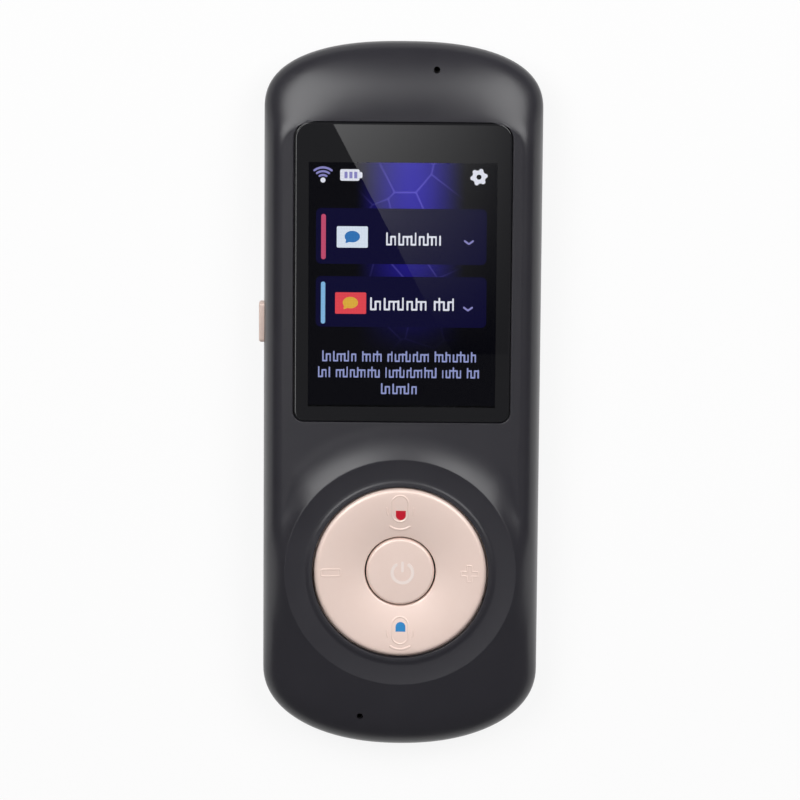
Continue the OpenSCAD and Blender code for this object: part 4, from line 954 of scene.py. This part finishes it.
# White: a gear with six soft teeth round a hole, a charge sign like a small battery with its contact, the
# dot under the signal arcs, and the words in the two rows.
a = np.radians(np.linspace(0, 360, 97))
gear_at, gear_hole_r = np.array([14.79, 45.2]), 0.5
gear_r = 1.5 + 0.2 * np.tanh(2 * np.sin(6 * a + 0.5))
round_gear = np.column_stack([np.cos(a), np.sin(a)])
gear_edge, gear_hole = gear_at + gear_r[:, None] * round_gear, gear_at + gear_hole_r * round_gear
charge_at = np.array([-10.3, 45.4])
signal_at = np.array([-15.7, 44.1])
white_marks = [
    np.stack([at(loop, z) for loop, z in (
        (gear_edge, ground_z), (gear_edge, panel_z), (gear_hole, panel_z), (gear_hole, ground_z),
        (gear_edge, ground_z))]),
    plate(rounded(charge_at - (2.05, 1.15), charge_at + (1.75, 1.15), 0.35, 4)),
    plate(rounded(charge_at + (1.6, -0.6), charge_at + (2.3, 0.6), 0.25)),
    plate(arc(signal_at + (0, 0.25), 0.5, 0, 360)),
]
row_words = words((14,), left=-3.5, right=7.7, y=32.75, high=2.6)
row_words += words((13, 5), left=-6.6, right=10.4, y=19.75, high=2.6)
white_marks += [plate(stroke, panel_z, mark_z) for stroke in row_words]
shown("white_marks", white_marks, lit("lit_white", "#fbfbff", "#dfe1ee"))

# Lavender: three signal arcs, three bars on the charge sign, and an arrow head at the end of each row.
lavender_marks = [
    ribbon(arc(signal_at, r, 48, 132), 0.42, flat_base(ground_z), sheet_thick) for r in (1.25, 2.0, 2.75)]
lavender_marks += [
    plate(rounded(charge_at + (x - 0.3, -0.65), charge_at + (x + 0.3, 0.65), 0.1), panel_z, mark_z)
    for x in (-0.9, 0.05, 1.0)]
lavender_marks += [
    ribbon([(x - 0.95, y + 0.35), (x, y - 0.35), (x + 0.95, y + 0.35)], 0.36, flat_base(panel_z), sheet_thick)
    for x, y in ((12.95, 32.2), (12.9, 18.9))]
shown("lavender_marks", lavender_marks, lit("lit_lavender", "#9d9ad8", "#8582bd"))

# Pale blue: three lines of writing under the rows.
writing = words((10, 6, 12, 12), left=-15.9, right=14.8, y=9.2, high=2.2)
writing += words((4, 13, 15, 6, 4), left=-16.7, right=15.4, y=6.0, high=2.2)
writing += words((10,), left=-4.3, right=3.2, y=2.7, high=2.2)
shown("writing", [plate(stroke) for stroke in writing], lit("lit_pale_blue", "#a6aee0", "#8c94c6"))

# ---- Key ring ----
# One moulded ring, coated rose gold, dished toward the middle key and rolled over at its rim. Four feet
# press the domes, two ears hang on the gimbal's pins, and its symbols are raised outlines.
ring_low, ring_high = np.array(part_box("control_ring")) / mm
hole_r, ring_r, rim_edge = 7.05, 17.1, 0.9
rim_r, rim_z = ring_r - rim_edge, ring_high[2]
ring_dish, ring_thick = 1.0, 1.2
flange_low, flange_high = rim_z - 2.9, rim_z - 2.3
flange_in, flange_out = ring_r - 1.2, ring_high[0]


def ring_top(r):
    """The ring's dish: a parabola with its crown at the rim, so that it is steepest at the hole."""
    return rim_z - ring_dish * ((rim_r - r) / (rim_r - hole_r)) ** 2


def on_ring(xy):
    """The height of the dish over plan points."""
    return ring_top(np.linalg.norm(xy - pad, axis=-1))


# Rose-gold lacquer on moulded plastic: a warm satin sheen, partly metallic, with fine flake.
rose_gold = moulded("satin_rose_gold_lacquer", "#f0dad0", "#e9d0c5", rough=0.42, grain_mm=0.12,
                    relief_mm=0.0012, metal=0.2)

# The profile goes up the wall of the hole, over its rounded edge, out over the dish, round the rim and down
# to a flange, and back under the dish.
hole_top = ring_top(hole_r)
hole_edge = [(hole_r, hole_top - 0.25), (hole_r + 0.02, hole_top - 0.12), (hole_r + 0.08, hole_top - 0.03)]
ring_profile = (
    [(hole_r, hole_top - ring_thick)] + hole_edge
    + [(r, ring_top(r)) for r in (hole_r + 0.18, *np.linspace(hole_r + 0.3, rim_r, 15))]
    + [(rim_r + rim_edge * math.cos(a), rim_z - rim_edge + rim_edge * math.sin(a))
       for a in np.linspace(math.pi / 2, 0, 9)[1:]]
    + [(ring_r, flange_high), (flange_out, flange_high), (flange_out, flange_low), (flange_in, flange_low)]
    + [(r, ring_top(r) - ring_thick) for r in np.linspace(rim_r - 0.5, hole_r, 7)]
)
ring_key = skin("ring_key", [turned(pad, ring_profile, steps=160)], rose_gold)

# Feet over the four outer domes, and two ears with blind holes for the gimbal's second pair of pins.
foot_way, foot_r, sunk = 13.8, 1.2, 0.5
ear_way, ear_half, ear_thick, ear_drop = 10.3, 1.5, 1.5, 0.9
pin_z, pin_way, pin_hole_r, pin_hole_deep = 11.7, 9.8, 0.55, 2.5
feet = [pad + foot_way * np.array(way) for way in ((1, 0), (0, 1), (-1, 0), (0, -1))]
ear_top = ring_top(10.5) - sunk
ears = [
    block((-ear_half, pad[1] + y, pin_z - ear_drop), (ear_half, pad[1] + y + ear_thick, ear_top))
    for y in (ear_way, -ear_way - ear_thick)
]
carve(ring_key, "UNION", [peg(foot, foot_r, ring_low[2], ring_top(foot_way) - sunk) for foot in feet] + ears)
pin_holes = [
    peg((0, 0), pin_hole_r, y, y + pin_hole_deep, steps=20) for y in (pin_way, -pin_way - pin_hole_deep)]
carve(ring_key, "DIFFERENCE", [hole[..., [0, 2, 1]] + (0, pad[1], pin_z) for hole in pin_holes])
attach(ring_key, "key_ring")
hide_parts("control_ring")

# The symbols are low round-backed lines: a microphone above and one below, a minus on the left, a plus on
# the right. The signs stand out less than the microphones.
outline_wide, outline_high, sign_high = 0.34, 0.12, 0.072


def raised(path, wide=outline_wide, high=outline_high, joined=False):
    """A line of a symbol, raised from the dish with a rounded back."""
    return ribbon(path, wide, on_ring, high, joined, arch=0.5)


def bow(centre, wide, deep, start, end):
    """Part of an ellipse, by angles in degrees: a circle's arc, stretched to wide and deep."""
    return np.array(centre) + arc((0, 0), 1, start, end, 16) * (wide, deep)


def microphone(x, y, base):
    """A microphone's outline: a capsule, the cradle's two short side arcs, and a deeper arc as its base."""
    capsule_r, capsule_half, cradle, foot = 1.6, 1.1, (2.65, 3.2), (2.6, 1.9)
    capsule = np.concatenate([
        arc((x, y + capsule_half), capsule_r, 0, 180), arc((x, y - capsule_half), capsule_r, 180, 360)])
    return [
        raised(closed(capsule), joined=True),
        raised(bow((x, y), *cradle, 176, 206)),
        raised(bow((x, y), *cradle, -26, 4)),
        raised(bow((x, base + foot[1]), *foot, 218, 322), outline_wide + 0.15),
    ]


minus_at, plus_at = np.array([-13.75, -34.1]), np.array([13.7, -34.1])
minus = rounded(minus_at - (1.9, 0.7), minus_at + (1.9, 0.7), 0.3)
arm = np.array([(-1.75, 0.5), (-0.5, 0.5), (-0.5, 1.75)]) * 0.95
plus = closed(plus_at + np.concatenate([arm, arm[::-1] * (-1, 1), arm * (-1, -1), arm[::-1] * (1, -1)]))
key_marks = skin("key_marks", microphone(-0.1, -20.95, -25.3) + microphone(0.07, -45.85, -49.65) + [
    raised(minus, outline_wide, sign_high, joined=True),
    raised(plus, outline_wide * 0.8, sign_high, joined=True),
], rose_gold)
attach(key_marks, "key_ring")


def half_capsule(centre, side):
    """Half a capsule of ink on the dish: a half circle with a low rectangle on its straight side. A side of
    1 puts the rectangle above, and -1 below."""
    centre, r, high, under, over = np.array(centre), 0.98, 0.95, 0.05, 0.03
    straight = [(r, 0.5), (r, high), (0.5, high), (0, high), (-0.5, high), (-r, high), (-r, 0.5)]
    loop = centre + closed(np.concatenate([arc((0, 0), r, 180, 360, 16), straight])) * (1, side)
    hub = loop * 0 + centre
    return np.stack([at(hub, on_ring(hub) - under), at(loop, on_ring(loop) - under),
                     at(loop, on_ring(loop) + over), at(hub, on_ring(hub) + over)])


# Pad-printed ink: solid colour with the faint grain of the dish under it.
red_ink = moulded("red_printed_ink", "#c5162c", "#b81227", rough=0.4, grain_mm=0.2, relief_mm=0.003)
blue_ink = moulded("blue_printed_ink", "#2586c4", "#1f7ab6", rough=0.4, grain_mm=0.2, relief_mm=0.003)
red_mark = skin("red_mark", [half_capsule((0.05, -22.3), 1)], red_ink)
blue_mark = skin("blue_mark", [half_capsule((0.15, -45.1), -1)], blue_ink)
for mark in (red_mark, blue_mark):
    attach(mark, "key_ring")

# ---- Snap domes ----
# Five round domes pressed from thin sprung steel, held on the board by clear film. Each lies under a foot
# of the ring, or under the middle key's stem; the real dome goes flat as that key comes down, but these keep
# their shape.
dome_r, dome_high, dome_film = 2.2, 0.35, 0.1
board_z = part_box("dome_centre")[0].z / mm


def dome_arch(r, high, run):
    """An arch over the board: its radius grows by r with each step of run, and its height falls as a
    cosine."""
    return [(r * step, board_z + high * math.cos(step * math.pi / 2)) for step in run]


run = np.linspace(0, 1, 10)
dome_profile = dome_arch(dome_r, dome_high, run)
dome_profile += dome_arch(dome_r - dome_film, dome_high - dome_film, run[::-1])

# Sprung stainless steel: bright, with the faint mottling of rolled strip.
sprung_steel = moulded("sprung_rolled_steel", "#c3c4c8", "#b2b3b8", rough=0.22, grain_mm=0.4, relief_mm=0.002,
                       metal=1.0)
ring_keeps, centre_keeps = 0.18, 0.08
for name, centre, joint, keeps in (
        ("dome_right", feet[0], "ring_rock_y", ring_keeps), ("dome_up", feet[1], "ring_rock_x", ring_keeps),
        ("dome_left", feet[2], "ring_rock_y", ring_keeps), ("dome_down", feet[3], "ring_rock_x", ring_keeps),
        ("dome_centre", pad, "power_press", centre_keeps)):
    snap_dome = skin("snap_" + name, [turned(centre, dome_profile, steps=48)], sprung_steel)
    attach(snap_dome, "case")
    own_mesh(snap_dome)
    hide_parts(name)

# ---- Middle key ----
# A round cap on a stem, coated like the ring and very slightly crowned. Its stem slides in the key
# frame's hub, and the power symbol is printed in pale ink.
stem_low, cap_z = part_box("power_button")[0].z / mm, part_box("power_button")[1].z / mm
cap_r, cap_edge, cap_crown, cap_thick = 6.75, 0.6, 0.08, 1.4
flat_r, cap_low = cap_r - cap_edge, cap_z - cap_thick
stem_r, groove_r, groove_low, groove_top = 4.5, 3.9, 10.43, 10.97


def cap_top(r):
    """The cap's crown: a shallow parabola with its top in the middle."""
    return cap_z - cap_crown * (r / flat_r) ** 2


def on_cap(xy):
    """The height of the cap over plan points."""
    return cap_top(np.linalg.norm(xy - pad, axis=-1))


# The profile goes out over the crown, round the edge, in under the cap and down the stem. A groove in the
# stem holds the retaining ring.
cap_profile = (
    [(r, cap_top(r)) for r in np.linspace(0, flat_r, 9)]
    + [(flat_r + cap_edge * math.cos(a), cap_z - cap_crown - cap_edge + cap_edge * math.sin(a))
       for a in np.linspace(math.radians(82), 0, 9)]
    + [(cap_r, cap_low), (stem_r, cap_low), (stem_r, groove_top), (groove_r, groove_top)]
    + [(groove_r, groove_low), (stem_r, groove_low), (stem_r, stem_low), (0, stem_low)]
)
power_cap = skin("power_cap", [turned(pad, cap_profile, steps=128)], rose_gold)
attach(power_cap, "power_key")
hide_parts("power_button")

# Pad-printed ink, a little paler than the lacquer: an open ring and a bar.
pale_ink = moulded("pale_printed_ink", "#eedfd9", "#e8d8d1", rough=0.4, grain_mm=0.2, relief_mm=0.002)
symbol_at, ink_high = np.array([0.45, -34.15]), 0.015
power_mark = skin("power_mark", [
    ribbon(arc(symbol_at, 2.05, 120, 420), 0.6, on_cap, ink_high),
    ribbon([symbol_at + (0, 0.1), symbol_at + (0, 2.3)], 0.5, on_cap, ink_high),
], pale_ink)
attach(power_mark, "power_key")

# ---- Side key ----
# A slim bar, coated like the ring, that stands 1 mm out of the left side. A thin flange behind it
# keeps it in its slot, and it bears on the side switch's plunger.
bar_edge, bar_corner_r, bar_in_flange, side_flange = 0.45, 0.7, 0.3, 0.6


def side_ring(inset, x):
    """The bar's section, a rectangle with round corners in the plane across x, drawn in by inset."""
    corner_r = max(0.05, bar_corner_r - inset)
    loop = rounded(inset - side_half, side_half - inset, corner_r) + side_mid
    return np.column_stack([np.full(len(loop), x), loop])


# The bar's outer face has a quarter circle round its edge, and both its ends close on the bar's middle
# line.
bar_rings = [side_ring(0, side_high[0] - bar_in_flange)] + [
    side_ring(bar_edge * (1 - math.cos(a)), side_low[0] + bar_edge * (1 - math.sin(a)))
    for a in np.linspace(0, math.pi / 2, 7)
]
bar_start, bar_end = [ring * (1, 0, 0) + (0, *side_mid) for ring in (bar_rings[0], bar_rings[-1])]
side_cap = skin("side_cap", [np.stack([bar_start] + bar_rings + [bar_end])], rose_gold)
carve(side_cap, "UNION", [block((side_high[0] - side_flange, side_low[1], side_low[2]), side_high)])
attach(side_cap, "side_key")
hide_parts("side_button")

# ---- Case screws ----
# Four black zinc-plated pan-head screws, deep in the back's pillars, with a cross recess in each head.
screw_low, screw_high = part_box("case_screws")[0].z / mm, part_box("case_screws")[1].z / mm
head_edge, shank_r, tip_r, tip_long = 0.3, 0.77, 0.5, 0.3
recess_deep, recess_half, recess_slim = 0.55, 0.95, 0.2


def screw(centre):
    """A turned screw, head down: a flat head whose rim is a quarter circle, and a plain shank with a blunt
    tip."""
    rim = [(screw_head_r - head_edge + head_edge * math.sin(a), screw_low + head_edge * (1 - math.cos(a)))
           for a in np.linspace(0, math.pi / 2, 5)]
    return turned(centre, [(0, screw_low)] + rim + [
        (screw_head_r, screw_seat_z), (shank_r, screw_seat_z), (shank_r, screw_high - tip_long),
        (tip_r, screw_high), (0, screw_high)], steps=36)


back_screws = skin("back_screws", [screw(centre) for centre in case_screws_at], zinc_black)
for wide, tall in ((recess_half, recess_slim), (recess_slim, recess_half)):
    carve(back_screws, "DIFFERENCE", [
        block((x - wide, y - tall, screw_low - 1), (x + wide, y + tall, screw_low + recess_deep))
        for x, y in case_screws_at])
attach(back_screws, "case")
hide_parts("case_screws")

# ---- Floor and light ----
# The device lies on its back on white card, between two large soft boxes that stand beyond its top
# end. Two dim panels far above show only in what is glossy.

# Matt white card. Seen straight on, mirrored or through glass it is lit up by an even white, which leaves a
# faint shadow of the device. To all other rays it is plain card.
white_card, tree, shader, place = new_material("white_card")
shader.inputs["Base Color"].default_value = (0.8, 0.8, 0.8, 1)
shader.inputs["Roughness"].default_value = 1.0
ray = add_node(tree, "LightPath").outputs
direct = add_node(tree, "Math", {"operation": "MAXIMUM"}, _0=ray["Is Camera Ray"], _1=ray["Is Glossy Ray"])
seen = add_node(tree, "Math", {"operation": "MAXIMUM"}, _0=direct.outputs[0], _1=ray["Is Transmission Ray"])
lit_share = add_node(tree, "Math", {"operation": "MULTIPLY"}, _0=seen.outputs[0], _1=0.88)
white = add_node(tree, "Emission", Strength=1.0)
card = add_node(tree, "MixShader", _0=lit_share.outputs[0], _1=shader.outputs[0], _2=white.outputs[0])
tree.links.new(card.outputs[0], tree.nodes["Material Output"].inputs["Surface"])
card_half, card_thick, card_gap = 3000, 12, 0.01
floor = skin("floor", [
    block((-card_half, -card_half, -card_thick), (card_half, card_half, -card_gap))], white_card)

# The overhead panel gives the glass its slanted sheen. It is bright at its left end and fades to the right
# and, as a power of 1.4, toward the device's low end. Its left edge slants.
panels_z = 814.0
panel_low, panel_high, panel_right = -162.0, -80.0, 80.0
soft_panel, tree, shader, place = new_material("dim_overhead_panel")
axes = add_node(tree, "SeparateXYZ", Vector=place)
along = add_node(tree, "MapRange", Value=axes.outputs[1], From_Min=panel_low * mm, From_Max=panel_high * mm)
curve = add_node(tree, "Math", {"operation": "POWER"}, _0=along.outputs[0], _1=1.4)
across = add_node(tree, "MapRange", Value=axes.outputs[0], From_Min=-27 * mm, From_Max=34 * mm,
                  To_Min=2.2, To_Max=0.2)
strength = add_node(tree, "Math", {"operation": "MULTIPLY"}, _0=curve.outputs[0], _1=across.outputs[0])
beam = add_node(tree, "Emission", Strength=strength.outputs[0])
tree.links.new(beam.outputs[0], tree.nodes["Material Output"].inputs["Surface"])
slant = 40.6 / 78.1
top_left = np.array([-27.6 - 4 * slant, -79.3])
low_left = np.array([top_left[0] + slant * (top_left[1] - panel_low), panel_low])
overhead_panel = skin("overhead_panel", [np.array([
    [(*top_left, panels_z), (*low_left, panels_z)],
    [(panel_right, top_left[1], panels_z), (panel_right, panel_low, panels_z)]])], soft_panel)

# The side panel lies further left. It never shows in the glass, and leaves a soft sheen on the case beside
# it.
side_glow, tree, shader, place = new_material("dim_side_panel")
beam = add_node(tree, "Emission", Strength=4.5)
tree.links.new(beam.outputs[0], tree.nodes["Material Output"].inputs["Surface"])
side_panel = skin("side_panel", [np.array([
    [(x, y, panels_z) for x in (-130, -44)] for y in (-196, -60)], dtype=float)], side_glow)
for panel in (overhead_panel, side_panel):
    for ray_kind in ("camera", "diffuse", "transmission", "volume_scatter", "shadow"):
        setattr(panel, "visible_" + ray_kind, False)

# A faint white world keeps what faces no lamp from going black.
world = bpy.data.worlds.new("studio")
bpy.context.scene.world = world
world.use_nodes = True
world.node_tree.nodes["Background"].inputs["Color"].default_value = (1, 1, 1, 1)
world.node_tree.nodes["Background"].inputs["Strength"].default_value = 0.055


def soft_box(name, azimuth, height, radiance, away=1.1, size=0.64):
    """A square area light that faces the device, placed by two angles in degrees and a distance in metres.
    Its energy is its radiance times pi times its area."""
    lamp = bpy.data.lights.new(name, "AREA")
    lamp.size = size
    lamp.energy = radiance * math.pi * size ** 2
    holder = bpy.data.objects.new(name, lamp)
    bpy.context.scene.collection.objects.link(holder)
    a, e = math.radians(azimuth), math.radians(height)
    way = Vector((math.cos(a) * math.cos(e), math.sin(a) * math.cos(e), math.sin(e)))
    holder.location = way * away
    holder.rotation_euler = way.to_track_quat("Z", "Y").to_euler()


soft_box("soft_box_left", azimuth=137, height=54, radiance=6.6)
soft_box("soft_box_right", azimuth=41, height=52, radiance=6.1)

# ---- Camera ----
# A long lens nearly straight above the device, a little toward its top end. It has no depth of field, and
# its three axes are given by their directions.
camera_at = (5.494, 244.748, 1103.594)
camera_right = (0.99994725, 0.00774861, -0.00674256)
camera_up = (-0.00903163, 0.97593547, -0.2178724)
camera_back = (0.00489209, 0.21792181, 0.97595397)
lens = bpy.data.cameras.new("camera")
lens.sensor_width = 36
lens.lens = 255.2
lens.shift_x = -0.002135
lens.shift_y = -0.004365
lens.clip_start = 0.01
lens.clip_end = 50
eye = bpy.data.objects.new("camera", lens)
bpy.context.scene.collection.objects.link(eye)
eye.matrix_world = Matrix([
    (*axes, spot * mm) for *axes, spot in zip(camera_right, camera_up, camera_back, camera_at)
] + [(0, 0, 0, 1)])
bpy.context.scene.camera = eye
bpy.context.scene.view_settings.view_transform = "Standard"
